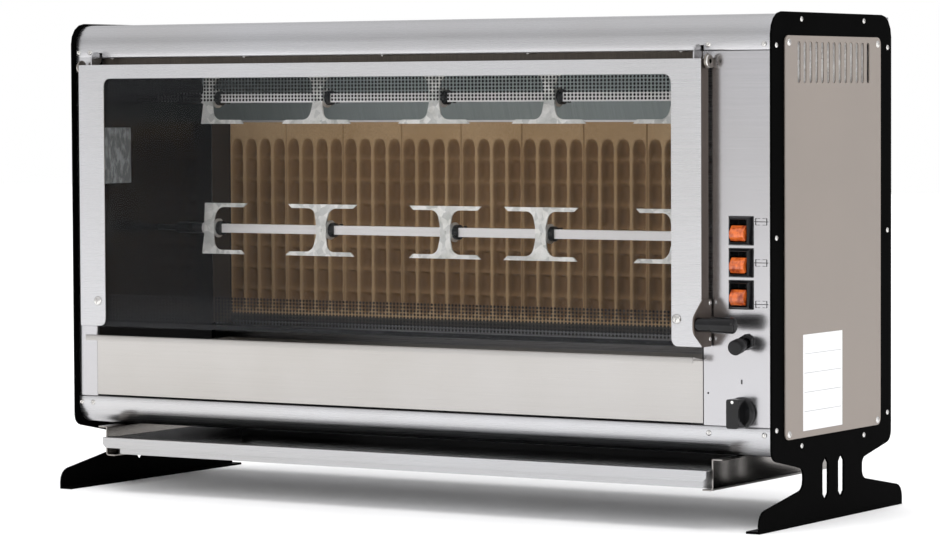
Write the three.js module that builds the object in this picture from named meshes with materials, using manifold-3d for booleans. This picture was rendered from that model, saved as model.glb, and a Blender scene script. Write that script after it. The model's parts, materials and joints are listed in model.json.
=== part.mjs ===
import * as THREE from 'three';
import { mergeVertices } from 'three/addons/utils/BufferGeometryUtils.js';
import Module from 'manifold-3d';

const wasm = await Module();
wasm.setup();

// Sizes are in mm. X runs along the front, Y from front to back, Z up from the floor.
// Y = 0 is the front panel while the pieces are drawn; the last step centres the depth.

// Body
const overallWidth = 1070;
const overallHeight = 630.5;
const bodyDepth = 330;
const footDepth = 395;
const plateFront = -7.5;
const plateThickness = 3;
const sheet = 1.5;
const gap = 0.3;
const legHeight = 87.5;
const footFlange = 16;
const legNeckHalf = 81;
const stileWidth = 32;
const controlWidth = 96;
const topFrontHeight = 44.5;
const bottomFrontHeight = 37.5;
const returnDepth = 6;

// Side covers
const coverThickness = 1.6;
const coverInset = 31.5;
const coverFoot = 108.5;
const ventCount = 13;
const ventPitch = 15.9;
const ventLength = 51;
const ventWidth = 7.5;

// Door
const doorThickness = 18.5;
const doorGap = 5.5;
const doorOverlapLeft = 9;
const doorOverlapRight = 11;
const doorBottom = 222.5;
const doorStile = 42;
const doorRail = 18.5;
const glassThickness = 4;
const hingeDrop = 3.1;
const hingeSetback = 11.3;
const hingePin = 2.5;
const lugThickness = 1.7;
const handleReach = 24;
const gripRadius = 10.1;
const gripLength = 51;

// Cavity
const hoodDrop = 24.5;
const postWidth = 32;
const tileCount = 9;
const tileThickness = 20;
const tileBottom = 217.5;
const tileTopDrop = 79.5;
const tileSetback = 57;
const fluteCount = 4;
const fluteWidth = 19.5;
const fluteDepth = 9;

// Spits and forks
const barSize = 12;
const forkHalfHeight = 34.7;
const prongThickness = 5.5;
const forkArm = 56;
const forkPlate = 2;

// Controls
const switchHeight = 35.8;
const switchWidth = 33;
const switchPitch = 39;
const switchTop = 364.5;
const timerRadius = 19.3;

// Drawer, rails and tray
const drawerDrop = 17;
const drawerLip = 26;
const railHeight = 39.7;
const railThickness = 2;
const trayDepth = 300;

// Positions that follow from the sizes above
const plateOuter = overallWidth / 2;
const plateInner = plateOuter - plateThickness;
const bodyHalf = plateInner - gap;
const bodyMiddle = plateFront + bodyDepth / 2;
const bodyBack = plateFront + bodyDepth - 2;
const bodyTop = overallHeight - 2.5;
const topSeam = bodyTop - topFrontHeight;
const bottomSeam = legHeight + bottomFrontHeight;
const cavityLeft = -plateInner + stileWidth;
const cavityRight = plateInner - controlWidth;
const wallLeft = cavityLeft + gap + sheet;
const wallRight = cavityRight - gap - sheet;
const doorLeft = cavityLeft - doorOverlapLeft;
const doorRight = cavityRight + doorOverlapRight;
const doorTop = topSeam - 9.5;
const doorBack = -doorGap;
const doorFront = doorBack - doorThickness;
const hingeY = doorFront + hingeSetback;
const hingeZ = doorTop - hingeDrop;
const ceiling = bodyTop - hoodDrop;
const tileFace = bodyBack - tileSetback;
const tileTop = doorTop - tileTopDrop;
const tileLeft = wallLeft + postWidth;
const tileRight = wallRight - postWidth;
const spitY = tileFace * 0.533;
const lowerSpitZ = doorBottom + 0.364 * (doorTop - doorBottom);
const upperSpitZ = doorBottom + 0.87 * (doorTop - doorBottom);
const drawerBottom = bottomSeam + 2.5;
const drawerTop = doorBottom - drawerDrop;
const railTop = legHeight - gap;
const railFloor = railTop - railHeight + railThickness;
const railHalf = plateInner - 69;
const gripY = doorFront - handleReach + gripRadius;

const materials = {
  stainless: new THREE.MeshStandardMaterial({ color: 0xc8c8c6, roughness: 0.35, metalness: 0.9 }),
  blackPlate: new THREE.MeshStandardMaterial({ color: 0x121212, roughness: 0.4, metalness: 0.3 }),
  warmGrey: new THREE.MeshStandardMaterial({ color: 0x9a948b, roughness: 0.5, metalness: 0.4 }),
  darkSteel: new THREE.MeshStandardMaterial({ color: 0x4c4640, roughness: 0.5, metalness: 0.7 }),
  galvanised: new THREE.MeshStandardMaterial({ color: 0xb4b8b6, roughness: 0.45, metalness: 0.8 }),
  paleBar: new THREE.MeshStandardMaterial({ color: 0xd5d5d8, roughness: 0.3, metalness: 0.9 }),
  ceramic: new THREE.MeshStandardMaterial({ color: 0x8a6a47, roughness: 0.9, metalness: 0 }),
  glass: new THREE.MeshStandardMaterial({ color: 0xdfe6e6, roughness: 0.05, metalness: 0 }),
  blackPlastic: new THREE.MeshStandardMaterial({ color: 0x0c0c0c, roughness: 0.3, metalness: 0 }),
  amber: new THREE.MeshStandardMaterial({ color: 0xe0641c, roughness: 0.2, metalness: 0 }),
  foil: new THREE.MeshStandardMaterial({ color: 0xd0d2d4, roughness: 0.2, metalness: 1 }),
};

// Outline through [a, b, radius] corners; a corner with a radius becomes a short arc.
function outline(corners) {
  const points = [];
  corners.forEach(([a, b, radius = 0], i) => {
    const corner = new THREE.Vector2(a, b);
    if (radius === 0) {
      points.push(corner);
      return;
    }
    const before = corners[(i + corners.length - 1) % corners.length];
    const after = corners[(i + 1) % corners.length];
    const into = corner.clone().sub(new THREE.Vector2(before[0], before[1])).normalize();
    const away = new THREE.Vector2(after[0], after[1]).sub(corner).normalize();
    const turn = Math.acos(into.dot(away));
    const side = Math.sign(into.cross(away));
    const start = corner.clone().addScaledVector(into, -radius * Math.tan(turn / 2));
    const middle = start.clone().add(new THREE.Vector2(-into.y, into.x).multiplyScalar(side * radius));
    const steps = Math.max(1, Math.ceil(turn / 0.4));
    for (let k = 0; k <= steps; k += 1) {
      points.push(start.clone().rotateAround(middle, side * turn * k / steps));
    }
  });
  return points;
}

// Outline of a bent sheet whose one face follows the path; the sheet lies on the left for a plus thickness.
function bentSheet(path, thickness) {
  const far = path.map(([a, b, radius = 0], i) => {
    const into = i > 0 ? new THREE.Vector2(a - path[i - 1][0], b - path[i - 1][1]).normalize() : null;
    const last = i === path.length - 1;
    const away = last ? null : new THREE.Vector2(path[i + 1][0] - a, path[i + 1][1] - b).normalize();
    const first = into || away;
    const second = away || into;
    const normal = new THREE.Vector2(-first.y - second.y, first.x + second.x);
    normal.multiplyScalar(thickness / (1 + first.dot(second)));
    const inner = radius - Math.sign(first.cross(second)) * thickness;
    return [a + normal.x, b + normal.y, radius === 0 ? 0 : Math.max(inner, 0.3)];
  });
  return outline([...path, ...far.reverse()]);
}

function circle(a, b, radius, sides) {
  const points = [];
  for (let i = 0; i < sides; i += 1) {
    const angle = (i + 0.5) * 2 * Math.PI / sides;
    points.push(new THREE.Vector2(a + radius * Math.cos(angle), b + radius * Math.sin(angle)));
  }
  return points;
}

function solid(geometry) {
  geometry.deleteAttribute('normal');
  geometry.deleteAttribute('uv');
  const merged = mergeVertices(geometry, 1e-4);
  const mesh = new wasm.Mesh({
    numProp: 3,
    vertProperties: new Float32Array(merged.attributes.position.array),
    triVerts: new Uint32Array(merged.index.array),
  });
  return new wasm.Manifold(mesh);
}

// Pushes an outline along an axis: (y, z) along x, (x, z) along y, or (x, y) along z.
function prism(axis, points, from, to, holes = []) {
  const shape = new THREE.Shape(points);
  shape.holes = holes.map((hole) => new THREE.Path(hole));
  const geometry = new THREE.ExtrudeGeometry(shape, { depth: to - from, bevelEnabled: false });
  const x = new THREE.Vector3(1, 0, 0);
  const y = new THREE.Vector3(0, 1, 0);
  const z = new THREE.Vector3(0, 0, 1);
  const turned = new THREE.Matrix4();
  if (axis === 'x') {
    turned.makeBasis(y, z, x).setPosition(from, 0, 0);
  }
  if (axis === 'y') {
    turned.makeBasis(x, z, y.clone().negate()).setPosition(0, to, 0);
  }
  if (axis === 'z') {
    turned.setPosition(0, 0, from);
  }
  return solid(geometry.applyMatrix4(turned));
}

function rod(axis, a, b, radius, from, to, sides = 12) {
  return prism(axis, circle(a, b, radius, sides), from, to);
}

function block(x0, x1, y0, y1, z0, z1) {
  const geometry = new THREE.BoxGeometry(x1 - x0, y1 - y0, z1 - z0);
  return solid(geometry.translate((x0 + x1) / 2, (y0 + y1) / 2, (z0 + z1) / 2));
}

function join(first, ...others) {
  return others.reduce((sum, next) => sum.add(next), first);
}

function cut(first, ...others) {
  return others.reduce((rest, next) => rest.subtract(next), first);
}

const oven = new THREE.Group();
oven.name = 'rotisserie_oven';

function addPart(name, shape, material) {
  const made = shape.getMesh();
  const geometry = new THREE.BufferGeometry();
  geometry.setAttribute('position', new THREE.BufferAttribute(new Float32Array(made.vertProperties), 3));
  geometry.setIndex(new THREE.BufferAttribute(new Uint32Array(made.triVerts), 1));
  geometry.computeVertexNormals();
  const mesh = new THREE.Mesh(geometry, material);
  mesh.name = name;
  oven.add(mesh);
}

// Gives [low, high] for a stretch measured outwards from the middle, on the side wanted (-1 or 1).
function span(side, near, far) {
  return side > 0 ? [near, far] : [-far, -near];
}

// Side plates with their legs, leg slots and inward foot flange
const coverFront = plateFront + coverInset;
const coverBack = plateFront + bodyDepth - 35;
const coverTop = overallHeight - 29;
const ventTop = coverTop - 7;
const ventFirst = coverFront + (coverBack - coverFront - (ventCount - 1) * ventPitch) / 2 + 0.4;

function sidePlate(name, side) {
  const half = bodyDepth / 2;
  const foot = footDepth / 2;
  const profile = [
    [half, overallHeight, 28],
    [half, legHeight - 1.4, 15],
    [legNeckHalf, legHeight - 18, 10],
    [legNeckHalf, legHeight - 43, 12],
    [foot, legHeight - 62.5, 18],
    [foot, 0],
  ];
  const back = profile.map(([h, z, r]) => [bodyMiddle + h, z, r]);
  const front = profile.map(([h, z, r]) => [bodyMiddle - h, z, r]).reverse();
  const slots = [-21.75, 21.75].map((offset) => {
    const y = bodyMiddle + offset;
    const low = legHeight - 62;
    const high = legHeight - 8;
    const edge = [[y, low], [y + 8, low + 8], [y + 8, high - 8], [y, high], [y - 8, high - 8], [y - 8, low + 8]];
    return outline(edge);
  });
  const [x0, x1] = span(side, plateInner, plateOuter);
  const [f0, f1] = span(side, plateInner - footFlange, plateInner + 1);
  let shape = prism('x', outline([...back, ...front]), x0, x1, slots);
  shape = join(shape, block(f0, f1, bodyMiddle - foot, bodyMiddle + foot, 0, plateThickness));
  if (side > 0) {
    const low = ventFirst - 9;
    const high = ventFirst + (ventCount - 1) * ventPitch + 9;
    shape = cut(shape, block(x0 - 1, x1 + 1, low, high, ventTop - ventLength - 6, ventTop + 3));
  }
  addPart(name, shape, materials.blackPlate);
}
sidePlate('side_plate_left', -1);
sidePlate('side_plate_right', 1);

function sideCover(name, side) {
  const [x0, x1] = span(side, plateOuter + gap, plateOuter + gap + coverThickness);
  const [s0, s1] = span(side, plateOuter + gap + coverThickness / 2, plateOuter + gap + coverThickness + 2.2);
  const face = [[coverFront, coverFoot, 9], [coverBack, coverFoot, 9], [coverBack, coverTop, 9], [coverFront, coverTop, 9]];
  const slots = [];
  for (let i = 0; i < ventCount && side > 0; i += 1) {
    const low = ventFirst + i * ventPitch - ventWidth / 2;
    const high = low + ventWidth;
    const foot = ventTop - ventLength;
    slots.push(outline([
      [low + 1.5, foot],
      [high - 1.5, foot],
      [high, foot + 1.5],
      [high, ventTop - 1.5],
      [high - 1.5, ventTop],
      [low + 1.5, ventTop],
      [low, ventTop - 1.5],
      [low, foot + 1.5],
    ]));
  }
  let shape = prism('x', outline(face), x0, x1, slots);
  for (const y of [coverFront + 10, coverBack - 9]) {
    for (const z of [coverFoot + 6.5, coverTop - 8.5]) {
      shape = join(shape, rod('x', y, z, 4.5, s0, s1, 8));
    }
  }
  addPart(name, shape, materials.warmGrey);
}
sideCover('side_cover_left', -1);
sideCover('side_cover_right', 1);

// Outer wraps
const lugRight = cavityRight - 0.4;
const lugLeft = cavityLeft + 9;
const topPath = [
  [14, topSeam],
  [0, topSeam, 1.7],
  [0, bodyTop, 28],
  [bodyBack, bodyTop, 2],
  [bodyBack, bodyTop - 12],
];
let topCover = prism('x', bentSheet(topPath, -sheet), -bodyHalf, bodyHalf);
topCover = join(topCover, block(-bodyHalf, cavityLeft - gap, 0, sheet, topSeam - 6, topSeam + 1));
for (const x of [lugLeft, lugRight - lugThickness]) {
  topCover = cut(topCover, block(x - 2.2, x + lugThickness + 2.2, -1, 15, topSeam - 1, topSeam + 7));
}
addPart('top_cover', topCover, materials.stainless);

const bottomPath = [
  [10, bottomSeam],
  [0, bottomSeam, 1.7],
  [0, legHeight, 26],
  [bodyBack, legHeight, 2],
  [bodyBack, legHeight + 12],
];
addPart('bottom_cover', prism('x', bentSheet(bottomPath, sheet), -bodyHalf, bodyHalf), materials.stainless);

const rearY = bodyBack - sheet - gap;
const rearPanel = block(-bodyHalf, bodyHalf, rearY - sheet, rearY, legHeight + sheet + gap, bodyTop - sheet - gap);
const cableHole = rod('y', bodyHalf - 50, legHeight + 66, 11, rearY - 5, rearY + 5, 16);
addPart('rear_panel', cut(rearPanel, cableHole), materials.stainless);

// Front strips
const hingeSlotLow = hingeZ - 8.4;
const hingeSlotHigh = hingeZ + 3.4;
const stilePath = [[-bodyHalf, 0], [cavityLeft, 0, 1.7], [cavityLeft, returnDepth]];
let stile = prism('z', bentSheet(stilePath, sheet), bottomSeam + gap, topSeam - 6 - gap);
stile = cut(stile, block(doorLeft - 4.8, doorLeft - 1.7, -1, 3, hingeSlotLow, hingeSlotHigh));
addPart('front_stile_left', stile, materials.stainless);

const switchX = plateInner - 43;
const timerX = plateInner - 42.5;
const timerZ = bottomSeam + 17.5;
const toggleX = plateInner - 35;
const toggleZ = doorBottom + 6.5;
const switchZs = [0, 1, 2].map((i) => switchTop - i * switchPitch);
const controlPath = [[cavityRight, returnDepth], [cavityRight, 0, 1.7], [bodyHalf, 0]];
let control = prism('z', bentSheet(controlPath, sheet), bottomSeam + gap, topSeam - gap);
for (const z of switchZs) {
  control = cut(control, block(switchX - 14, switchX + 14, -1, 3, z - 15.5, z + 15.5));
}
control = cut(
  control,
  rod('y', timerX, timerZ, 4, -1, 3),
  rod('y', toggleX, toggleZ, 7, -1, 3),
  rod('y', cavityRight + 7, bottomSeam + 40, 1.2, -1, 3, 8),
  block(doorRight + 1.7, doorRight + 4.8, -1, 3, hingeSlotLow, hingeSlotHigh),
);
addPart('control_panel', control, materials.stainless);

// Cavity walls, each with the rear post and the drawer guide folded from the same sheet
const lampLow = [16, doorBottom + 190.5];
const lampHigh = [76, doorBottom + 267];

function cavityWall(name, side, face, holeRadius) {
  const away = face + side * sheet;
  const post = face - side * (postWidth - gap);
  const path = [[face, 2], [face, tileFace, 1.7], [post, tileFace]];
  let shape = prism('z', bentSheet(path, -side * sheet), drawerBottom - gap - sheet, ceiling + 6);
  const guide = [Math.min(away, face - side * 14), Math.max(away, face - side * 14)];
  shape = join(shape, block(guide[0], guide[1], 2, tileFace, drawerBottom - gap - sheet, drawerBottom - gap));
  for (const z of [lowerSpitZ, upperSpitZ]) {
    shape = cut(shape, rod('x', spitY, z, holeRadius, Math.min(face, away) - 1, Math.max(face, away) + 1));
  }
  const [near, far] = [Math.min(post, away) - 1, Math.max(post, away) + 1];
  shape = cut(
    shape,
    block(near, far, 1, 15, topSeam - 30, ceiling + 7),
    block(near, far, tileFace - 3, tileFace + 3, tileTop, ceiling + 7),
    block(near, far, tileFace - 3, tileFace + 3, drawerBottom - 3, drawerTop + 6),
  );
  if (side < 0) {
    shape = cut(shape, block(away - 1, face + 1, lampLow[0], lampHigh[0], lampLow[1], lampHigh[1]));
  }
  addPart(name, shape, materials.darkSteel);
}
const boreRadius = barSize * 0.707 + 0.9;
cavityWall('cavity_wall_left', -1, wallLeft, 4.8);
cavityWall('cavity_wall_right', 1, wallRight, boreRadius);

// Hood: ceiling with a front flange and a sloping band down to the tiles
const hoodPath = [
  [17, topSeam + 4],
  [17, ceiling, 2],
  [tileFace - 41, ceiling, 3],
  [tileFace - 1, tileTop + 2 * gap, 1.7],
  [tileFace + tileThickness, tileTop + 2 * gap],
];
addPart('cavity_hood', prism('x', bentSheet(hoodPath, sheet), wallLeft + gap, wallRight - gap), materials.darkSteel);

// Fluted ceramic heating tiles on their rail
const tilePitch = (tileRight - tileLeft) / tileCount;
const tileRailPath = [
  [tileFace - 0.6 - sheet, tileBottom + 8],
  [tileFace - 0.6 - sheet, tileBottom - gap - sheet, 1.7],
  [tileFace + tileThickness, tileBottom - gap - sheet],
];
addPart('tile_rail', prism('x', bentSheet(tileRailPath, sheet), tileLeft + gap, tileRight - gap), materials.darkSteel);
for (let i = 0; i < tileCount; i += 1) {
  const left = tileLeft + i * tilePitch + gap / 2;
  const right = left + tilePitch - gap;
  let tile = block(left, right, tileFace, tileFace + tileThickness, tileBottom, tileTop);
  const flutePitch = (right - left) / fluteCount;
  for (let j = 0; j < fluteCount; j += 1) {
    const middle = left + (j + 0.5) * flutePitch;
    const half = fluteWidth / 2;
    const flute = outline([
      [middle - half, tileBottom + 12],
      [middle + half, tileBottom + 12],
      [middle + half, tileTop - 24.5, half - 0.1],
      [middle - half, tileTop - 24.5, half - 0.1],
    ]);
    tile = cut(tile, prism('y', flute, tileFace - 1, tileFace + fluteDepth));
  }
  addPart('heating_tile_' + (i + 1), tile, materials.ceramic);
}

// Lamp in the left wall
const lampBack = wallLeft - sheet - gap;
const lampBox = block(lampBack - 26, lampBack, lampLow[0] - 8, lampHigh[0] + 8, lampLow[1] - 8, lampHigh[1] + 8);
const lampHollow = block(lampBack - 23, lampBack + 1, lampLow[0] - 1, lampHigh[0] + 1, lampLow[1] - 1, lampHigh[1] + 1);
addPart('lamp_housing', cut(lampBox, lampHollow), materials.darkSteel);
const lampPane = block(
  lampBack - 4,
  wallLeft + 0.8,
  lampLow[0] + gap,
  lampHigh[0] - gap,
  lampLow[1] + gap,
  lampHigh[1] - gap,
);
addPart('lamp_glass', lampPane, materials.glass);

// Door
const face = [
  [doorLeft, doorBottom],
  [doorLeft, doorTop],
  [doorRight, doorTop],
  [doorRight, doorBottom],
  [doorRight - doorStile, doorBottom, 9],
  [doorRight - doorStile, doorTop - doorRail, 10],
  [doorLeft + doorStile, doorTop - doorRail, 10],
  [doorLeft + doorStile, doorBottom, 9],
];
let doorFrame = join(
  prism('y', outline(face), doorFront, doorFront + sheet),
  block(doorLeft, doorRight, doorFront, doorBack, doorTop - sheet, doorTop),
  block(doorLeft, doorRight, doorBack - sheet, doorBack, doorTop - 9, doorTop),
);
for (const [outer, inward] of [[doorLeft, 1], [doorRight, -1]]) {
  const wall = [outer, outer + inward * sheet].sort((a, b) => a - b);
  const rear = [outer, outer + inward * 12].sort((a, b) => a - b);
  doorFrame = join(
    doorFrame,
    block(wall[0], wall[1], doorFront, doorBack, doorBottom, doorTop),
    block(rear[0], rear[1], doorBack - sheet, doorBack, doorBottom, doorTop),
  );
  doorFrame = cut(doorFrame, rod('x', hingeY, hingeZ, hingePin + gap, wall[0] - 0.6, wall[1] + 0.6, 10));
}
const lug = outline([
  [doorFront + 3.5, doorTop - 1],
  [doorBack - 0.3, doorTop - 1],
  [doorBack + 6.5, doorTop + 4.5, 1],
  [doorBack + 6.5, doorTop + 17.5, 10],
  [doorFront + 3, doorTop + 17.5, 10],
]);
for (const x of [lugLeft, lugRight - lugThickness]) {
  doorFrame = join(doorFrame, prism('x', lug, x, x + lugThickness));
}
addPart('door_frame', doorFrame, materials.stainless);

const glassFront = doorFront + sheet + gap;
const doorPane = block(
  doorLeft + 4,
  doorRight - 4,
  glassFront,
  glassFront + glassThickness,
  doorBottom - sheet,
  doorTop - 4,
);
addPart('door_glass', doorPane, materials.glass);

// Hinge brackets: an ear through a slot in the front strip, with the pin and its head
function hingeBracket(name, side, doorSide) {
  const near = doorSide + side * 2.4;
  const far = near + side * 2;
  const order = (a, b) => [Math.min(a, b), Math.max(a, b)];
  const [e0, e1] = order(near, far);
  const [w0, w1] = order(near, near - side * 9);
  const [p0, p1] = order(doorSide - side * (sheet - 0.1), far);
  const [h0, h1] = order(far - side * 1, far + side * 2.5);
  const flangeY = sheet + gap;
  addPart(
    name,
    join(
      rod('x', hingeY, hingeZ, 9.3, e0, e1, 16),
      block(e0, e1, hingeY, flangeY + sheet, hingeZ - 8, hingeZ + 3),
      block(w0, w1, flangeY, flangeY + sheet, hingeZ - 8, hingeZ + 3),
      rod('x', hingeY, hingeZ, hingePin, p0, p1, 10),
      rod('x', hingeY, hingeZ, 7.5, h0, h1),
    ),
    materials.darkSteel,
  );
}
hingeBracket('hinge_bracket_left', -1, doorLeft);
hingeBracket('hinge_bracket_right', 1, doorRight);

// Door handle
const bracketNear = doorRight + gap;
const bracketFar = bracketNear + 2.2;
const gripZ = doorBottom + 28.5;
const bracket = outline([
  [doorBack + 2.5, doorBottom, 1],
  [doorFront + 1, doorBottom, 2],
  [doorFront - handleReach, gripZ - 10, 13],
  [doorFront - handleReach, gripZ + 9, 13],
  [doorFront, doorBottom + 58],
  [doorBack + 2.5, doorBottom + 58, 1],
]);
addPart('handle_bracket', prism('x', bracket, bracketNear, bracketFar), materials.darkSteel);
const gripStart = bracketFar + gap;
addPart(
  'handle_grip',
  join(
    rod('x', gripY, gripZ, gripRadius - 1, gripStart, gripStart + 22, 16),
    rod('x', gripY, gripZ, gripRadius, gripStart + 20, gripStart + gripLength - 3, 16),
    rod('x', gripY, gripZ, gripRadius - 2.5, gripStart + gripLength - 4, gripStart + gripLength, 16),
  ),
  materials.blackPlastic,
);

// Rocker switches: tapered bezel with its body behind the panel, and the amber rocker
switchZs.forEach((z, i) => {
  const base = [switchWidth / 2, switchHeight / 2];
  const top = [12.6, 15];
  const corners = [[-1, -1], [1, -1], [1, 1], [-1, 1]];
  const front = corners.map(([a, b]) => [a * top[0], -8, b * top[1]]);
  const mid = corners.map(([a, b]) => [a * base[0], -2, b * base[1]]);
  const back = corners.map(([a, b]) => [a * base[0], -gap, b * base[1]]);
  const rings = [front, mid, back];
  const positions = rings.flat().flatMap(([a, y, b]) => [switchX + a, y, z + b]);
  const faces = [0, 1, 2, 0, 2, 3, 8, 10, 9, 8, 11, 10];
  for (let ring = 0; ring < 2; ring += 1) {
    for (let k = 0; k < 4; k += 1) {
      const here = ring * 4 + k;
      const next = ring * 4 + (k + 1) % 4;
      faces.push(here, here + 4, next, next, here + 4, next + 4);
    }
  }
  const taper = new THREE.BufferGeometry();
  taper.setAttribute('position', new THREE.BufferAttribute(new Float32Array(positions), 3));
  taper.setIndex(faces);
  const bezel = join(solid(taper), block(switchX - 13.6, switchX + 13.6, -gap - 1, 26, z - 15, z + 15));
  const well = block(switchX - 11.4, switchX + 11.4, -9, 14, z - 13.8, z + 13.8);
  addPart('switch_bezel_' + (i + 1), cut(bezel, well), materials.blackPlastic);
  const rocker = outline([
    [-7, z + 6.5, 1],
    [-14, z - 1.5, 1],
    [-14, z - 7, 1],
    [-9, z - 12.6, 1],
    [1, z - 9],
    [1, z + 6.5],
  ]);
  addPart('switch_rocker_' + (i + 1), prism('x', rocker, switchX - 10, switchX + 10), materials.amber);
});

// Timer with its knob
const timerBody = join(
  block(timerX - 20, timerX + 20, sheet + gap, 40, timerZ - 14, timerZ + 26),
  rod('y', timerX, timerZ, 3, -15, 10),
);
addPart('timer_body', timerBody, materials.darkSteel);
const timerKnob = join(
  rod('y', timerX, timerZ, timerRadius, -7, -0.8, 24),
  block(timerX - 8.5, timerX + 8.5, -25, -6, timerZ - timerRadius + 1.3, timerZ + timerRadius - 1.3),
);
addPart('timer_knob', cut(timerKnob, rod('y', timerX, timerZ, 3.4, -15.6, 0)), materials.blackPlastic);

// Toggle switch: bushing and body, and the capped lever, which rests tilted down
const togglePivot = -2;
const toggleTilt = 10;
const bushing = join(
  rod('y', toggleX, toggleZ, 10, -6, -gap, 6),
  rod('y', toggleX, toggleZ, 6.6, -2, 4),
  block(toggleX - 9, toggleX + 9, sheet + gap, 26, toggleZ - 13, toggleZ + 13),
);
const bushingBore = join(
  rod('y', toggleX, toggleZ, 7.6, -7, togglePivot - 1),
  rod('y', toggleX, toggleZ, 5.4, togglePivot - 2, 8),
);
addPart('toggle_body', cut(bushing, bushingBore), materials.blackPlastic);
const lever = join(
  rod('y', 0, 0, 4, -12, 3),
  rod('y', 0, 0, 7.8, -17, -11),
  rod('y', 0, 0, 9.4, -32.5, -16),
);
const tilted = lever.rotate([toggleTilt, 0, 0]).translate([toggleX, togglePivot, toggleZ]);
addPart('toggle_lever', tilted, materials.blackPlastic);

// Insulation foil seen through the vents
const foil = block(plateInner - 5, plateInner - 1, coverFront + 24, coverBack - 22, ventTop - 66, ventTop + 11);
addPart('vent_foil', foil, materials.foil);

// Spits: a round pin in the left wall, a collar and a square bar into the gear motor
const barStart = wallLeft + 78;
const barEnd = cavityRight + 24;
const half = barSize / 2;
function spit(name, z) {
  addPart(
    name,
    join(
      rod('x', spitY, z, 4, wallLeft - 14, barStart - 44),
      rod('x', spitY, z, 8, barStart - 45, barStart),
      block(barStart - 1, barEnd, spitY - half, spitY + half, z - half, z + half),
    ),
    materials.paleBar,
  );
}
function gearMotor(name, z) {
  const box = block(cavityRight + 4, cavityRight + 74, spitY - 32, spitY + 32, z - 30, z + 30);
  addPart(name, cut(box, rod('x', spitY, z, boreRadius, cavityRight, barEnd + 2)), materials.darkSteel);
}
spit('spit_lower', lowerSpitZ);
spit('spit_upper', upperSpitZ);
gearMotor('gear_motor_lower', lowerSpitZ);
gearMotor('gear_motor_upper', upperSpitZ);

// Forks: a flat plate with pointed prongs, a hub on the bar and its wing screw behind
function fork(name, x, z, leftArm, rightArm) {
  const corners = [];
  const quarter = (side, up, arm) => [
    [x + side * arm, z + up * forkHalfHeight],
    [x + side * (arm - 6), z + up * (forkHalfHeight - prongThickness)],
    [x + side * 9.5, z + up * (forkHalfHeight - prongThickness), 12],
  ];
  const stub = (side, up, arm) => [[x + side * arm, z + up * forkHalfHeight]];
  const corner = (side, up, arm) => (arm > 20 ? quarter(side, up, arm) : stub(side, up, arm));
  corners.push(...corner(-1, 1, leftArm), [x - 8, z], ...corner(-1, -1, leftArm).reverse());
  corners.push(...corner(1, -1, rightArm), [x + 8, z], ...corner(1, 1, rightArm).reverse());
  const plateBack = spitY - half - gap;
  const hole = block(x, x + 20, spitY - half - gap, spitY + half + gap, z - half - gap, z + half + gap);
  const hub = join(
    rod('x', spitY, z, 13, x + 6, x + 9),
    rod('x', spitY, z, 10, x + 8, x + 17, 8),
    rod('y', x + 12.5, z, 2.5, spitY + 8, spitY + 17, 6),
    block(x + 11, x + 14, spitY + 15, spitY + 22, z - 8, z + 8),
  );
  const plate = prism('y', outline(corners), plateBack - forkPlate, plateBack);
  addPart(name, join(plate, cut(hub, hole)), materials.galvanised);
}
const barLength = wallRight - barStart;
const lowerForks = [0.018, 0.236, 0.468, 0.64, 0.877];
const upperForks = [0.018, 0.231, 0.449, 0.656, 0.877];
[['lower', lowerSpitZ, lowerForks], ['upper', upperSpitZ, upperForks]].forEach(([level, z, places]) => {
  places.forEach((place, i) => {
    const arms = [[9, 62], [forkArm, forkArm], [forkArm, forkArm], [forkArm, forkArm], [62, 9]][i];
    fork('fork_' + level + '_' + (i + 1), barStart + place * barLength, z, arms[0], arms[1]);
  });
});

// Drip drawer
const drawerBack = tileFace + 36;
const drawerSide = 2.2;
const drawerLeft = wallLeft + drawerSide;
const drawerRight = wallRight - drawerSide;
const drawerFrontPath = [
  [-drawerLip, drawerTop - 3],
  [-drawerLip, drawerTop + 5, 2],
  [sheet, drawerTop, 2.5],
  [sheet, drawerBottom],
];
const floorTop = drawerBottom + sheet;
const drawerPanPath = [[0.5, floorTop], [drawerBack, floorTop, 2], [drawerBack, drawerTop - 17]];
const drawer = join(
  prism('x', bentSheet(drawerFrontPath, -sheet), cavityLeft + gap, cavityRight - gap),
  prism('x', bentSheet(drawerPanPath, -sheet), drawerLeft, drawerRight),
  block(drawerLeft, drawerLeft + sheet, 0.5, drawerBack + 1, drawerBottom, drawerTop - 17),
  block(drawerRight - sheet, drawerRight, 0.5, drawerBack + 1, drawerBottom, drawerTop - 17),
);
addPart('drip_drawer', drawer, materials.stainless);

// Rails under the body and the tray between them
for (const [name, side] of [['rail_left', -1], ['rail_right', 1]]) {
  const path = [
    [side * (railHalf + 14.5), railTop],
    [side * railHalf, railTop, 2.2],
    [side * railHalf, railFloor, 2.2],
    [side * (railHalf - 13), railFloor],
  ];
  addPart(name, prism('y', bentSheet(path, side * railThickness), -28, bodyBack - 13), materials.galvanised);
}
const trayHalf = railHalf - 1.5;
function trayPlan(inset) {
  return outline([
    [-trayHalf + inset, -6.4],
    [-trayHalf + 14.6 + inset * 0.41, -21 + inset],
    [trayHalf - 14.6 - inset * 0.41, -21 + inset],
    [trayHalf - inset, -6.4],
    [trayHalf - inset, trayDepth - 21 - inset],
    [-trayHalf + inset, trayDepth - 21 - inset],
  ]);
}
const trayFloor = railFloor + gap;
const trayTop = trayFloor + 23.5;
const strip = outline([
  [-trayHalf, trayTop],
  [-trayHalf, trayTop - 9],
  [-trayHalf + 5, trayTop - 14],
  [trayHalf - 5, trayTop - 14],
  [trayHalf, trayTop - 9],
  [trayHalf, trayTop],
]);
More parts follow.
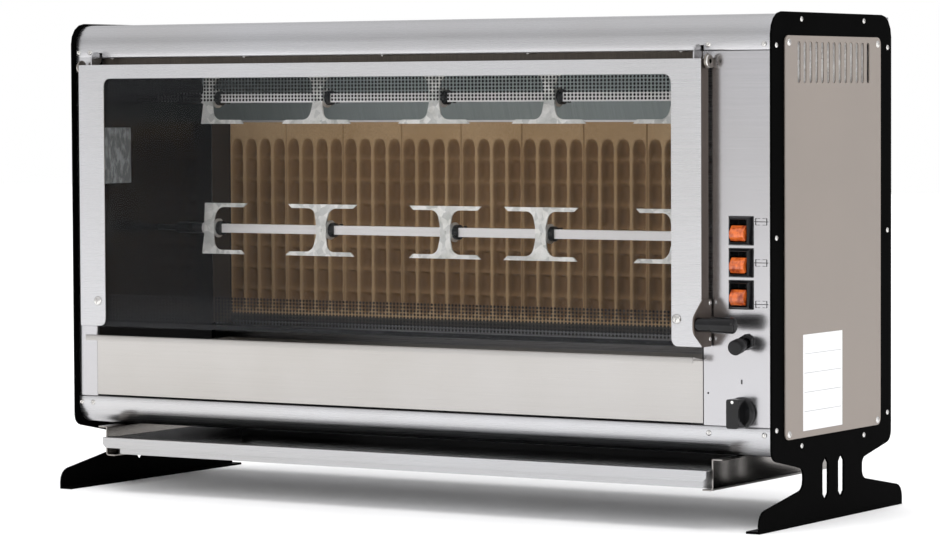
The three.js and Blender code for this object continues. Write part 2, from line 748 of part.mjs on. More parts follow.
const tray = join(
  prism('z', trayPlan(0), trayFloor, trayTop - 1),
  prism('y', strip, -40, -40 + sheet),
  block(-trayHalf, trayHalf, -40, -21 + sheet, trayTop - sheet, trayTop),
);
const trayHollow = prism('z', trayPlan(sheet), trayFloor + sheet, trayTop + 1);
addPart('lower_tray', cut(tray, trayHollow), materials.galvanised);

// Centre the depth between the front of the handle and the back of the feet
const frontMost = doorFront - handleReach;
const rearMost = bodyMiddle + footDepth / 2;
oven.children.forEach((piece) => piece.geometry.translate(0, -(frontMost + rearMost) / 2, 0));

export default oven;
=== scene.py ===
import json
import math
import bmesh
import bpy
from mathutils import Matrix, Vector, noise

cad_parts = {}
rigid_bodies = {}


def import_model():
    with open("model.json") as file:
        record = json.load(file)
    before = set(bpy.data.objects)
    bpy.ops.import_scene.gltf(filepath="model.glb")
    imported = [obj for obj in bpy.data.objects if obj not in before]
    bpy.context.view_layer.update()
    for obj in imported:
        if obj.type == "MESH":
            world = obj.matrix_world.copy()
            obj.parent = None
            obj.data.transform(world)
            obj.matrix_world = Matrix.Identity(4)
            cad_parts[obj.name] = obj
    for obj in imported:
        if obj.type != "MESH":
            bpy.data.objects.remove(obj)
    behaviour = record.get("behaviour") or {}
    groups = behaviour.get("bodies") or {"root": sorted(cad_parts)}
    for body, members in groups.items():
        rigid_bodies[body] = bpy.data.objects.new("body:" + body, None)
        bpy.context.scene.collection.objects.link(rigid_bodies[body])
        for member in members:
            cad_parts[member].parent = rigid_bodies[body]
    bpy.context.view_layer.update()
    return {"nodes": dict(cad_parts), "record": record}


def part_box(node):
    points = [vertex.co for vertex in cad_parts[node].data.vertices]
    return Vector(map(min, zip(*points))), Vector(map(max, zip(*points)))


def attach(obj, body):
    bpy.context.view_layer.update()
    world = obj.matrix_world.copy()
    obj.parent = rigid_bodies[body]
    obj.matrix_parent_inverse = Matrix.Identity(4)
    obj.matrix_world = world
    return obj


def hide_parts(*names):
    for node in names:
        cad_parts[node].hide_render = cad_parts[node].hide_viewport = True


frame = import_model()
nodes = frame["nodes"]
bodyOfNode = {n: body for body, members in frame["record"]["behaviour"]["bodies"].items() for n in members}
mm = 0.001
collection = bpy.context.scene.collection
print("frame loaded:", len(nodes), "nodes")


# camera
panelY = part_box("control_panel")[0].y
cameraSettings = {
    "place": (2.617, panelY - 3.9998, 0.5272),
    "yaw": 32.19,
    "pitch": 2.64,
    "roll": -0.27,
    "lens": 142.42,
    "sensor": 36,
}


def makeCamera(s):
    yaw, pitch, roll = (math.radians(s[k]) for k in ("yaw", "pitch", "roll"))
    forward = Vector((-math.sin(yaw) * math.cos(pitch), math.cos(yaw) * math.cos(pitch), -math.sin(pitch)))
    right = Vector((math.cos(yaw), math.sin(yaw), 0))
    up = right.cross(forward)
    rightRolled = right * math.cos(roll) + up * math.sin(roll)
    upRolled = up * math.cos(roll) - right * math.sin(roll)
    data = bpy.data.cameras.new("camera")
    data.lens = s["lens"]
    data.sensor_width = s["sensor"]
    data.clip_start = 0.1
    data.clip_end = 60
    camera = bpy.data.objects.new("camera", data)
    turn = Matrix((rightRolled, upRolled, -forward)).transposed()
    camera.matrix_world = Matrix.Translation(Vector(s["place"])) @ turn.to_4x4()
    collection.objects.link(camera)
    bpy.context.scene.camera = camera


makeCamera(cameraSettings)


# materials
def nodeOf(tree, kind, inputs=None, **values):
    made = tree.nodes.new(kind)
    for key, value in values.items():
        setattr(made, key, value)
    for key, value in (inputs or {}).items():
        made.inputs[key].default_value = value
    return made


def startMaterial(name, roughness, metallic, **sockets):
    material = bpy.data.materials.new(name)
    material.use_nodes = True
    tree = material.node_tree
    shader = tree.nodes["Principled BSDF"]
    shader.inputs["Roughness"].default_value = roughness
    shader.inputs["Metallic"].default_value = metallic
    for key, value in sockets.items():
        shader.inputs[key].default_value = value
    return material, tree, shader


def noiseOn(tree, scale, stretch=(1, 1, 1), detail=4, rough=0.55):
    place = nodeOf(tree, "ShaderNodeTexCoord")
    mapping = nodeOf(tree, "ShaderNodeMapping", {"Scale": stretch})
    made = nodeOf(tree, "ShaderNodeTexNoise", {"Scale": scale, "Detail": detail, "Roughness": rough})
    tree.links.new(place.outputs["Object"], mapping.inputs["Vector"])
    tree.links.new(mapping.outputs["Vector"], made.inputs["Vector"])
    return made


def blendColours(tree, factor, a, b, low=0.35, high=0.65):
    ramp = nodeOf(tree, "ShaderNodeValToRGB")
    ramp.color_ramp.elements[0].position = low
    ramp.color_ramp.elements[1].position = high
    ramp.color_ramp.elements[0].color = (*a, 1)
    ramp.color_ramp.elements[1].color = (*b, 1)
    tree.links.new(factor, ramp.inputs["Fac"])
    return ramp.outputs["Color"]


def rangeTo(tree, value, low, high, fromLow=0.3, fromHigh=0.7):
    ends = {"From Min": fromLow, "From Max": fromHigh, "To Min": low, "To Max": high}
    made = nodeOf(tree, "ShaderNodeMapRange", ends)
    tree.links.new(value, made.inputs["Value"])
    return made.outputs["Result"]


def addBump(tree, shader, height, strength, distance=0.0005):
    bump = nodeOf(tree, "ShaderNodeBump", {"Strength": strength, "Distance": distance})
    tree.links.new(height, bump.inputs["Height"])
    tree.links.new(bump.outputs["Normal"], shader.inputs["Normal"])


def multiply(tree, a, b, factor=1.0):
    made = nodeOf(tree, "ShaderNodeMix", {"Factor": factor}, data_type="RGBA", blend_type="MULTIPLY")
    tree.links.new(a, made.inputs["A"])
    tree.links.new(b, made.inputs["B"])
    return made.outputs["Result"]


def brushedSteel(name, tone, shade, grain, roughness=(0.24, 0.4), metallic=1.0, bump=0.12):
    material, tree, shader = startMaterial(name, 0.3, metallic)
    fine = noiseOn(tree, 1.0, grain, 6, 0.7)
    broad = noiseOn(tree, 3.0, (1, 1, 1), 3)
    streak = blendColours(tree, fine.outputs["Fac"], shade, tone, 0.3, 0.68)
    cloud = blendColours(tree, broad.outputs["Fac"], (0.93, 0.92, 0.9), (1, 1, 1))
    tree.links.new(multiply(tree, streak, cloud), shader.inputs["Base Color"])
    tree.links.new(rangeTo(tree, fine.outputs["Fac"], *roughness), shader.inputs["Roughness"])
    addBump(tree, shader, fine.outputs["Fac"], bump, 0.0002)
    return material


def paintedSheet(name, tone, shade, roughness, grainScale=900, bump=0.15, metallic=0.0, coat=0.0):
    material, tree, shader = startMaterial(name, 0.5, metallic)
    shader.inputs["Coat Weight"].default_value = coat
    fine = noiseOn(tree, grainScale, (1, 1, 1), 3)
    broad = noiseOn(tree, 5.0, (1, 1, 1), 5)
    tree.links.new(blendColours(tree, broad.outputs["Fac"], shade, tone), shader.inputs["Base Color"])
    tree.links.new(rangeTo(tree, broad.outputs["Fac"], *roughness), shader.inputs["Roughness"])
    addBump(tree, shader, fine.outputs["Fac"], bump, 0.0003)
    return material


def galvanisedSheet(name, tone, shade, scale=110):
    material, tree, shader = startMaterial(name, 0.4, 0.4)
    place = nodeOf(tree, "ShaderNodeTexCoord")
    spangle = nodeOf(tree, "ShaderNodeTexVoronoi", {"Scale": scale, "Randomness": 1.0})
    tree.links.new(place.outputs["Object"], spangle.inputs["Vector"])
    flake = nodeOf(tree, "ShaderNodeSeparateColor")
    tree.links.new(spangle.outputs["Color"], flake.inputs["Color"])
    cloud = noiseOn(tree, 40, (1, 1, 1), 4)
    tint = blendColours(tree, flake.outputs["Red"], shade, tone, 0.1, 0.9)
    soil = blendColours(tree, cloud.outputs["Fac"], (0.8, 0.8, 0.78), (1, 1, 1), 0.35, 0.55)
    tree.links.new(multiply(tree, tint, soil), shader.inputs["Base Color"])
    tree.links.new(rangeTo(tree, flake.outputs["Green"], 0.3, 0.52, 0, 1), shader.inputs["Roughness"])
    addBump(tree, shader, cloud.outputs["Fac"], 0.1)
    return material


def ceramicMaterial(name, front, depth):
    material, tree, shader = startMaterial(name, 0.9, 0.0)
    place = nodeOf(tree, "ShaderNodeTexCoord")
    split = nodeOf(tree, "ShaderNodeSeparateXYZ")
    tree.links.new(place.outputs["Object"], split.inputs["Vector"])
    # the colour darkens with depth into the flutes: painted shade in the recesses
    sunk = nodeOf(tree, "ShaderNodeMapRange", {"From Min": front, "From Max": front + depth})
    tree.links.new(split.outputs["Y"], sunk.inputs["Value"])
    shadeByDepth = nodeOf(tree, "ShaderNodeValToRGB")
    ramp = shadeByDepth.color_ramp
    ramp.elements[0].position = 0.0
    ramp.elements[0].color = (0.70, 0.48, 0.27, 1)
    ramp.elements[1].position = 0.85
    ramp.elements[1].color = (0.27, 0.155, 0.07, 1)
    middle = ramp.elements.new(0.22)
    middle.color = (0.42, 0.26, 0.125, 1)
    tree.links.new(sunk.outputs["Result"], shadeByDepth.inputs["Fac"])
    grit = noiseOn(tree, 420, (1, 1, 1), 5, 0.7)
    cloud = noiseOn(tree, 9, (1, 1, 0.6), 5)
    speckle = blendColours(tree, grit.outputs["Fac"], (0.78, 0.76, 0.72), (1, 1, 1))
    heat = blendColours(tree, cloud.outputs["Fac"], (0.82, 0.78, 0.72), (1, 1, 1))
    colour = multiply(tree, multiply(tree, shadeByDepth.outputs["Color"], speckle), heat)
    tree.links.new(colour, shader.inputs["Base Color"])
    tree.links.new(rangeTo(tree, grit.outputs["Fac"], 0.8, 0.95), shader.inputs["Roughness"])
    addBump(tree, shader, grit.outputs["Fac"], 0.35, 0.0008)
    return material


def clearGlass(name, tint, opacity, roughness, ripple=False):
    # thin pane: mostly see-through, with a faint gloss and smudges that roughen it
    material, tree, shader = startMaterial(name, 0.0, 0.0)
    shader.inputs["Base Color"].default_value = (*tint, 1)
    shader.inputs["Alpha"].default_value = opacity
    cloud = noiseOn(tree, 14, (1, 1, 1), 4)
    tree.links.new(rangeTo(tree, cloud.outputs["Fac"], *roughness), shader.inputs["Roughness"])
    if ripple:
        waves = noiseOn(tree, 150, (1, 1, 0.5), 3)
        pale = tuple(min(1, c * 1.9) for c in tint)
        rippled = blendColours(tree, waves.outputs["Fac"], tint, pale, 0.45, 0.62)
        tree.links.new(rippled, shader.inputs["Base Color"])
        addBump(tree, shader, waves.outputs["Fac"], 0.6, 0.002)
    return material


def moulded(name, tone, shade, roughness=(0.18, 0.34), bump=0.08, **sockets):
    material, tree, shader = startMaterial(name, 0.3, 0.0, **sockets)
    fine = noiseOn(tree, 700, (1, 1, 1), 3)
    broad = noiseOn(tree, 60, (1, 1, 1), 3)
    tree.links.new(blendColours(tree, broad.outputs["Fac"], shade, tone), shader.inputs["Base Color"])
    tree.links.new(rangeTo(tree, broad.outputs["Fac"], *roughness), shader.inputs["Roughness"])
    addBump(tree, shader, fine.outputs["Fac"], bump, 0.0002)
    return material


def setSpecular(material, level):
    material.node_tree.nodes["Principled BSDF"].inputs["Specular IOR Level"].default_value = level


# steel: tone, shade, grain along X, Y and Z, roughness from and to, metallic, bump
steelAcross = brushedSteel(
    "steelBrushedAcross", (0.57, 0.57, 0.585), (0.53, 0.53, 0.545), (4, 1600, 1600), (0.24, 0.32), 1.0, 0.05
)
steelPanel = brushedSteel(
    "steelPanel", (0.50, 0.495, 0.51), (0.465, 0.46, 0.475), (4, 1600, 1600), (0.17, 0.24), 1.0, 0.03
)
drawerSteel = brushedSteel(
    "steelDrawer", (0.51, 0.495, 0.48), (0.47, 0.455, 0.44), (4, 1600, 1600), (0.26, 0.38), 1.0, 0.05
)
darkEdge = brushedSteel(
    "doorEdgeSteel", (0.16, 0.13, 0.11), (0.10, 0.08, 0.07), (900, 900, 3), (0.3, 0.45), 0.8
)
heatedSteel = brushedSteel(
    "heatedCavitySteel", (0.10, 0.085, 0.07), (0.05, 0.042, 0.035), (700, 700, 4), (0.3, 0.45), 0.7
)
hoodSteel = brushedSteel(
    "hoodSteel", (0.40, 0.45, 0.45), (0.29, 0.33, 0.33), (900, 14, 14), (0.3, 0.5), 0.55, 0.12
)
zincRail = brushedSteel(
    "traySteel", (0.52, 0.52, 0.53), (0.46, 0.46, 0.47), (4, 1200, 1200), (0.24, 0.36), 1.0, 0.06
)
# dark base tone stands in for the black side plate mirrored in the rails: painted reflection
railSteel = brushedSteel(
    "railSteel", (0.30, 0.285, 0.27), (0.24, 0.225, 0.215), (1200, 4, 1200), (0.1, 0.2), 1.0, 0.05
)
barSteel = brushedSteel(
    "drawnBar", (0.86, 0.84, 0.84), (0.76, 0.74, 0.74), (4, 1200, 1200), (0.34, 0.46), 0.35, 0.05
)
screwSteel = brushedSteel("screwSteel", (0.8, 0.79, 0.77), (0.6, 0.59, 0.58), (500, 500, 500), (0.14, 0.24))
foilMetal = brushedSteel(
    "crumpledFoil", (0.95, 0.95, 0.95), (0.75, 0.75, 0.76), (60, 60, 60), (0.2, 0.34), 0.15, 0.3
)
bracketSteel = brushedSteel(
    "bracketSteel", (0.30, 0.27, 0.24), (0.2, 0.18, 0.16), (500, 500, 500), (0.25, 0.4), 0.9
)
postSteel = brushedSteel(
    "postSteel", (0.12, 0.085, 0.06), (0.07, 0.05, 0.035), (700, 700, 4), (0.3, 0.45), 0.5
)
zincSheet = galvanisedSheet("zincSpangle", (0.98, 0.965, 0.93), (0.66, 0.66, 0.64))

# paint: tone, shade, roughness from and to, grain scale, bump, metallic
blackCoat = paintedSheet(
    "blackPowderCoat", (0.0022, 0.0022, 0.0022), (0.0012, 0.0012, 0.0012), (0.3, 0.42), 1400, 0.1
)
blackCoat.node_tree.nodes["Principled BSDF"].inputs["IOR"].default_value = 1.03  # low, so edges stay black
warmCoat = paintedSheet(
    "warmGreySatin", (0.29, 0.25, 0.22), (0.265, 0.228, 0.2), (0.36, 0.48), 1100, 0.12, 0.4
)
# black enamel of the cavity walls, also laid on as painted shade under the bottom cover and inside the tray
blackEnamelAndShade = paintedSheet(
    "cavityEnamel", (0.010, 0.010, 0.011), (0.006, 0.006, 0.006), (0.14, 0.26), 500, 0.1
)
setSpecular(blackEnamelAndShade, 0.35)

# mouldings and ink: tone, shade, roughness from and to, bump
blackScrew = moulded(
    "blackenedScrew", (0.03, 0.03, 0.03), (0.015, 0.015, 0.015), (0.25, 0.4), 0.05, Metallic=0.6
)
blackGloss = moulded(
    "blackGlossPlastic", (0.006, 0.006, 0.007), (0.004, 0.004, 0.004), (0.08, 0.16)
)
setSpecular(blackGloss, 0.3)
blackRubber = moulded(
    "blackMattPlastic", (0.009, 0.009, 0.01), (0.006, 0.006, 0.006), (0.3, 0.42), 0.12
)
setSpecular(blackRubber, 0.25)
ink = moulded("printInk", (0.05, 0.05, 0.05), (0.03, 0.03, 0.03), (0.4, 0.5), 0.02)
whiteInk = moulded("whiteInk", (0.85, 0.85, 0.83), (0.75, 0.75, 0.73), (0.4, 0.5), 0.02)
frit = moulded("ceramicFrit", (0.010, 0.010, 0.011), (0.006, 0.006, 0.007), (0.35, 0.5), 0.02)
setSpecular(frit, 0.08)
labelStock = moulded("labelStock", (0.86, 0.86, 0.87), (0.82, 0.82, 0.83), (0.3, 0.4), 0.02)
paleInk = moulded("paleInk", (0.45, 0.45, 0.46), (0.4, 0.4, 0.41), (0.4, 0.5), 0.02)

# glass: tint, opacity, roughness from and to
paneGlass = clearGlass("doorGlass", (0.012, 0.014, 0.016), 0.09, (0.02, 0.05))
lampPane = clearGlass("lampGlass", (0.22, 0.235, 0.24), 0.85, (0.1, 0.25), True)
print("materials made")


def newPiece(name, mesh, material, body, replaced=()):
    piece = bpy.data.objects.new(name, mesh)
    if not mesh.materials:
        mesh.materials.append(material)
    collection.objects.link(piece)
    if replaced:
        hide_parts(*replaced)
    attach(piece, body)
    return piece


def smoothByAngle(mesh, degrees=34):
    work = bmesh.new()
    work.from_mesh(mesh)
    limit = math.radians(degrees)
    for edge in work.edges:
        edge.smooth = len(edge.link_faces) == 2 and edge.calc_face_angle(0) < limit
    for face in work.faces:
        face.smooth = True
    work.to_mesh(mesh)
    work.free()


def bevelled(piece, width, segments=2, angle=32):
    bevel = piece.modifiers.new("edge", "BEVEL")
    bevel.width = width
    bevel.segments = segments
    bevel.limit_method = "ANGLE"
    bevel.angle_limit = math.radians(angle)
    bevel.harden_normals = True


def refine(node, material, bevel=0.0003, segments=2):
    mesh = nodes[node].data.copy()
    mesh.materials.clear()
    work = bmesh.new()
    work.from_mesh(mesh)
    bmesh.ops.remove_doubles(work, verts=work.verts, dist=0.00001)
    bmesh.ops.dissolve_limit(work, angle_limit=math.radians(0.5), verts=work.verts, edges=work.edges)
    work.to_mesh(mesh)
    work.free()
    mesh.materials.append(material)
    smoothByAngle(mesh)
    piece = newPiece(node + "_piece", mesh, material, bodyOfNode[node], [node])
    if bevel:
        bevelled(piece, bevel, segments)
    return piece


def paintFaces(piece, material, wanted):
    piece.data.materials.append(material)
    slot = len(piece.data.materials) - 1
    for face in piece.data.polygons:
        if wanted(face.center, face.normal):
            face.material_index = slot


def meshFrom(work, name, smooth=34):
    bmesh.ops.remove_doubles(work, verts=work.verts, dist=0.000005)
    bmesh.ops.recalc_face_normals(work, faces=work.faces)
    mesh = bpy.data.meshes.new(name)
    work.to_mesh(mesh)
    work.free()
    smoothByAngle(mesh, smooth)
    return mesh


def lathe(work, profile, axisPoint, along, steps=40):
    along = Vector(along).normalized()
    side = along.orthogonal().normalized()
    third = along.cross(side)
    rings = []
    for distance, radius in profile:
        ring = []
        for i in range(steps):
            angle = 2 * math.pi * i / steps
            offset = (side * math.cos(angle) + third * math.sin(angle)) * radius
            ring.append(work.verts.new(Vector(axisPoint) + along * distance + offset))
        rings.append(ring)
    for a, b in zip(rings, rings[1:]):
        for i in range(steps):
            work.faces.new((a[i], a[(i + 1) % steps], b[(i + 1) % steps], b[i]))
    work.faces.new(rings[0][::-1])
    work.faces.new(rings[-1])


def addBox(work, low, high):
    corners = []
    for x in (low[0], high[0]):
        for y in (low[1], high[1]):
            for z in (low[2], high[2]):
                corners.append(work.verts.new((x, y, z)))
    for a, b, c, d in ((0, 1, 3, 2), (4, 6, 7, 5), (0, 4, 5, 1), (2, 3, 7, 6), (0, 2, 6, 4), (1, 5, 7, 3)):
        work.faces.new((corners[a], corners[b], corners[c], corners[d]))


def bars(name, boxes, material, body):
    work = bmesh.new()
    for low, high in boxes:
        addBox(work, low, high)
    newPiece(name, meshFrom(work, name), material, body)


def turned(name, profile, place, along, steps, material, body, replaced=(), smooth=40):
    work = bmesh.new()
    lathe(work, profile, place, along, steps)
    newPiece(name, meshFrom(work, name, smooth), material, body, replaced)


def closeBehind(work, rows, axis, back):
    # faces between the rows, a rim pushed to the back and a flat face over it
    for a, b in zip(rows, rows[1:]):
        for i in range(len(a) - 1):
            work.faces.new((a[i], a[i + 1], b[i + 1], b[i]))
    rim = [e for e in work.edges if e.is_boundary]
    pushed = bmesh.ops.extrude_edge_only(work, edges=rim)
    for v in [g for g in pushed["geom"] if isinstance(g, bmesh.types.BMVert)]:
        v.co[axis] = back
    bmesh.ops.contextual_create(work, geom=[e for e in work.edges if e.is_boundary])


def flatOutline(name, loops, axis, start, end):
    # filled outline with holes, pushed from start to end along the axis: (y, z) for X and (x, z) for Y
    curve = bpy.data.curves.new(name, "CURVE")
    curve.dimensions = "2D"
    curve.fill_mode = "BOTH"
    curve.extrude = abs(end - start) / 2
    for loop in loops:
        spline = curve.splines.new("POLY")
        spline.points.add(len(loop) - 1)
        for point, (a, b) in zip(spline.points, loop):
            point.co = (a, b, 0, 1)
        spline.use_cyclic_u = True
    holder = bpy.data.objects.new(name, curve)
    collection.objects.link(holder)
    graph = bpy.context.evaluated_depsgraph_get()
    mesh = bpy.data.meshes.new_from_object(holder.evaluated_get(graph))
    bpy.data.objects.remove(holder)
    middle = (start + end) / 2
    if axis == "X":
        turn = Matrix(((0, 0, 1, middle), (1, 0, 0, 0), (0, 1, 0, 0), (0, 0, 0, 1)))
    else:
        turn = Matrix(((1, 0, 0, 0), (0, 0, -1, middle), (0, 1, 0, 0), (0, 0, 0, 1)))
    mesh.transform(turn)
    mesh.materials.clear()
    work = bmesh.new()
    work.from_mesh(mesh)
    bpy.data.meshes.remove(mesh)
    return meshFrom(work, name)


def roundedLoop(corners, step=10):
    # corners are (a, b, radius); each radius becomes an arc
    points = []
    for i, (a, b, radius) in enumerate(corners):
        here = Vector((a, b))
        before = Vector(corners[i - 1][:2])
        after = Vector(corners[(i + 1) % len(corners)][:2])
        if radius <= 0:
            points.append(here)
            continue
        into = (here - before).normalized()
        away = (after - here).normalized()
        turn = math.acos(max(-1, min(1, into.dot(away))))
        side = 1 if into.x * away.y - into.y * away.x > 0 else -1
        start = here - into * radius * math.tan(turn / 2)
        centre = start + Vector((-into.y, into.x)) * side * radius
        count = max(2, math.ceil(math.degrees(turn) / step))
        spoke = start - centre
        for k in range(count + 1):
            angle = side * turn * k / count
            c, s = math.cos(angle), math.sin(angle)
            points.append(centre + Vector((spoke.x * c - spoke.y * s, spoke.x * s + spoke.y * c)))
    return points


# geometry nodes for what repeats
class NodeTree:
    def __init__(self, name):
        self.tree = bpy.data.node_groups.new(name, "GeometryNodeTree")
        self.tree.interface.new_socket("Geometry", in_out="INPUT", socket_type="NodeSocketGeometry")
        self.tree.interface.new_socket("Geometry", in_out="OUTPUT", socket_type="NodeSocketGeometry")
        self.input = self.tree.nodes.new("NodeGroupInput")
        self.output = self.tree.nodes.new("NodeGroupOutput")
        self.ids = {}

    def value(self, name, kind, default):
        socket = self.tree.interface.new_socket(name, in_out="INPUT", socket_type="NodeSocket" + kind)
        socket.default_value = default
        self.ids[name] = socket.identifier
        return self.input.outputs[socket.identifier]

    def add(self, kind, links=None, values=None, **properties):
        made = self.tree.nodes.new(kind)
        for key, value in properties.items():
            setattr(made, key, value)
        for key, value in (values or {}).items():
            made.inputs[key].default_value = value
        for key, source in (links or {}).items():
            self.tree.links.new(source, made.inputs[key])
        return made

    def finish(self, geometry, material):
        real = self.add("GeometryNodeRealizeInstances", {0: geometry})
        painted = self.add("GeometryNodeSetMaterial", {0: real.outputs[0]}, {"Material": material})
        self.tree.links.new(painted.outputs[0], self.output.inputs[0])


def applyTree(name, tree, mesh, values, material, body, replaced=()):
    holder = bpy.data.objects.new(name + "_layout", mesh)
    collection.objects.link(holder)
    modifier = holder.modifiers.new("layout", "NODES")
    modifier.node_group = tree.tree
    for key, value in values.items():
        modifier[tree.ids[key]] = value
    graph = bpy.context.evaluated_depsgraph_get()
    made = bpy.data.meshes.new_from_object(holder.evaluated_get(graph))
    holder.modifiers.remove(modifier)
    bpy.data.objects.remove(holder)
    made.name = name
    smoothByAngle(made)
    return newPiece(name, made, material, body, replaced)


def screwTree(material):
    # a domed head with a cross recess on every point, aimed along the point's own direction
    t = NodeTree("screwHeads")
    radius = t.value("Head Radius", "Float", 0.004)
    height = t.value("Head Height", "Float", 0.002)
    recess = t.value("Recess Width", "Float", 0.001)
    ball = t.add("GeometryNodeMeshUVSphere", {"Radius": radius}, {"Segments": 20, "Rings": 10})
    ratio = t.add("ShaderNodeMath", {0: height, 1: radius}, operation="DIVIDE")
    scale = t.add("ShaderNodeCombineXYZ", {"Z": ratio.outputs[0]}, {"X": 1, "Y": 1})
    dome = t.add("GeometryNodeTransform", {"Geometry": ball.outputs["Mesh"], "Scale": scale.outputs[0]})
    long = t.add("ShaderNodeMath", {0: radius}, {1: 1.1}, operation="MULTIPLY")
    slots = []
    for first, second in (("X", "Y"), ("Y", "X")):
        size = t.add("ShaderNodeCombineXYZ", {first: long.outputs[0], second: recess, "Z": height})
        lift = t.add("ShaderNodeCombineXYZ", {"Z": height})
        bar = t.add("GeometryNodeMeshCube", {"Size": size.outputs[0]})
        links = {"Geometry": bar.outputs["Mesh"], "Translation": lift.outputs[0]}
        raised = t.add("GeometryNodeTransform", links)
        slots.append(raised.outputs["Geometry"])
    head = dome.outputs["Geometry"]
    for cutter in slots:
        cut = t.add("GeometryNodeMeshBoolean", {"Mesh 1": head, "Mesh 2": cutter}, operation="DIFFERENCE")
        head = cut.outputs["Mesh"]
    aim = t.add("GeometryNodeInputNamedAttribute", None, {"Name": "aim"}, data_type="FLOAT_VECTOR")
    turn = t.add("FunctionNodeAlignRotationToVector", {"Vector": aim.outputs["Attribute"]}, None, axis="Z")
    points = t.add("GeometryNodeMeshToPoints", {"Mesh": t.input.outputs[0]})
    placed = t.add(
        "GeometryNodeInstanceOnPoints",
        {"Points": points.outputs[0], "Instance": head, "Rotation": turn.outputs["Rotation"]},
    )
    t.finish(placed.outputs["Instances"], material)
    return t


def screws(name, places, size, body):
    mesh = bpy.data.meshes.new(name + "_points")
    mesh.from_pydata([p[:3] for p in places], [], [])
    aim = mesh.attributes.new("aim", "FLOAT_VECTOR", "POINT")
    for i, p in enumerate(places):
        aim.data[i].vector = p[3]
    values = {"Head Radius": size[0], "Head Height": size[1], "Recess Width": size[2]}
    applyTree(name, screwTree(screwSteel), mesh, values, screwSteel, body)


print("tools ready")


# places taken from the frame
def lowOf(node):
    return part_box(node)[0]


def highOf(node):
    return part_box(node)[1]


seam = 0.0003  # clearance between the front sheets and the top cover
lugRise = 0.0175  # the door's lugs stand this far over its top rail
plateOut = highOf("side_plate_right").x
frontTop = highOf("control_panel").z + seam
doorLow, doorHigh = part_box("door_frame")
doorLeft, doorRight = doorLow.x, doorHigh.x
doorFront = doorLow.y
doorTop = doorHigh.z - lugRise
doorBottom = doorLow.z


# body sheets
facing = 0.9  # how squarely a face must look one way to be painted
postStart = panelY + 0.2
hoodFrontEnd = panelY + 0.03
trayBackStart = panelY + 0.1
trayFloorEnd = highOf("lower_tray").z - 0.01


def insidePost(c, n):
    return n.y < -facing and c.y > postStart


def hoodFront(c, n):
    return n.y < -facing and c.y < hoodFrontEnd


# the tray's floor and back wall inside, painted black as painted shade
def trayPaintedShade(c, n):
    floorFace = n.z > facing and c.z < trayFloorEnd
    backFace = n.y < -facing and c.y > trayBackStart
    return floorFace or backFace


for side in ("left", "right"):
    refine("side_plate_" + side, blackCoat, 0.0004)
refine("side_cover_left", warmCoat)
refine("top_cover", steelAcross)
shadedBottom = refine("bottom_cover", steelAcross)
# the bottom cover's downward faces are painted black: painted shade under the oven
paintFaces(shadedBottom, blackEnamelAndShade, lambda c, n: n.z < -facing)
refine("rear_panel", steelAcross)
refine("front_stile_left", steelPanel)
refine("control_panel", steelPanel)
for side in ("left", "right"):
    wall = refine("cavity_wall_" + side, blackEnamelAndShade)
    paintFaces(wall, postSteel, insidePost)
hood = refine("cavity_hood", hoodSteel)
paintFaces(hood, heatedSteel, hoodFront)
refine("tile_rail", heatedSteel)
refine("lamp_housing", heatedSteel)
refine("lamp_glass", lampPane, 0.0004)
for level in ("lower", "upper"):
    refine("gear_motor_" + level, heatedSteel, 0.001)
for side in ("left", "right"):
    refine("hinge_bracket_" + side, bracketSteel)
    refine("rail_" + side, railSteel)
tray = refine("lower_tray", zincRail)
# painted shade inside the tray
paintFaces(tray, blackEnamelAndShade, trayPaintedShade)
refine("drip_drawer", drawerSteel)
refine("timer_body", heatedSteel, 0.0005)
print("sheets done")

# right side cover with rounded vents
coverSheet = 0.0016
ventSettings = {
    "count": 13,
    "pitch": 0.0159,
    "width": 0.0075,
    "length": 0.051,
    "fromTop": 0.007,
    "offset": 0.0004,
    "corner": 0.009,
    "bevel": 0.00025,
    "screwAcross": (0.010, 0.009),
    "screwUp": (0.0065, 0.0085),
    "screwSize": (0.0045, 0.0022, 0.0011),
}


def sideCoverRight(s):
    low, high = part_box("side_cover_right")
    near, far = low.x, low.x + coverSheet
    ventTop = high.z - s["fromTop"]
    middle = (low.y + high.y) / 2 + s["offset"]
    c = s["corner"]
    edge = [(low.y, low.z, c), (high.y, low.z, c), (high.y, high.z, c), (low.y, high.z, c)]
    loops = [roundedLoop(edge)]
    for i in range(s["count"]):
        y = middle + (i - (s["count"] - 1) / 2) * s["pitch"]
        a, b = y - s["width"] / 2, y + s["width"] / 2
        r = s["width"] / 2 - 0.00001
        z0, z1 = ventTop - s["length"], ventTop
        loops.append(roundedLoop([(a, z0, r), (b, z0, r), (b, z1, r), (a, z1, r)], 30))
    mesh = flatOutline("side_cover_right_piece", loops, "X", near, far)
    replaced = ["side_cover_right"]
    piece = newPiece("side_cover_right_piece", mesh, warmCoat, "base", replaced)
    bevelled(piece, s["bevel"])
    heads = []
    for y in (low.y + s["screwAcross"][0], high.y - s["screwAcross"][1]):
        for z in (low.z + s["screwUp"][0], high.z - s["screwUp"][1]):
            heads.append((far, y, z, (1, 0, 0)))
    screws("cover_screws_right", heads, s["screwSize"], "base")


sideCoverRight(ventSettings)

# crumpled foil behind the vents
foilSettings = {
    "across": 90,
    "up": 50,
    "depth": 0.0034,
    "scale": 75.0,
    "facets": 0.35,
    "creases": 1.4,
    "contrast": 1.3,
}


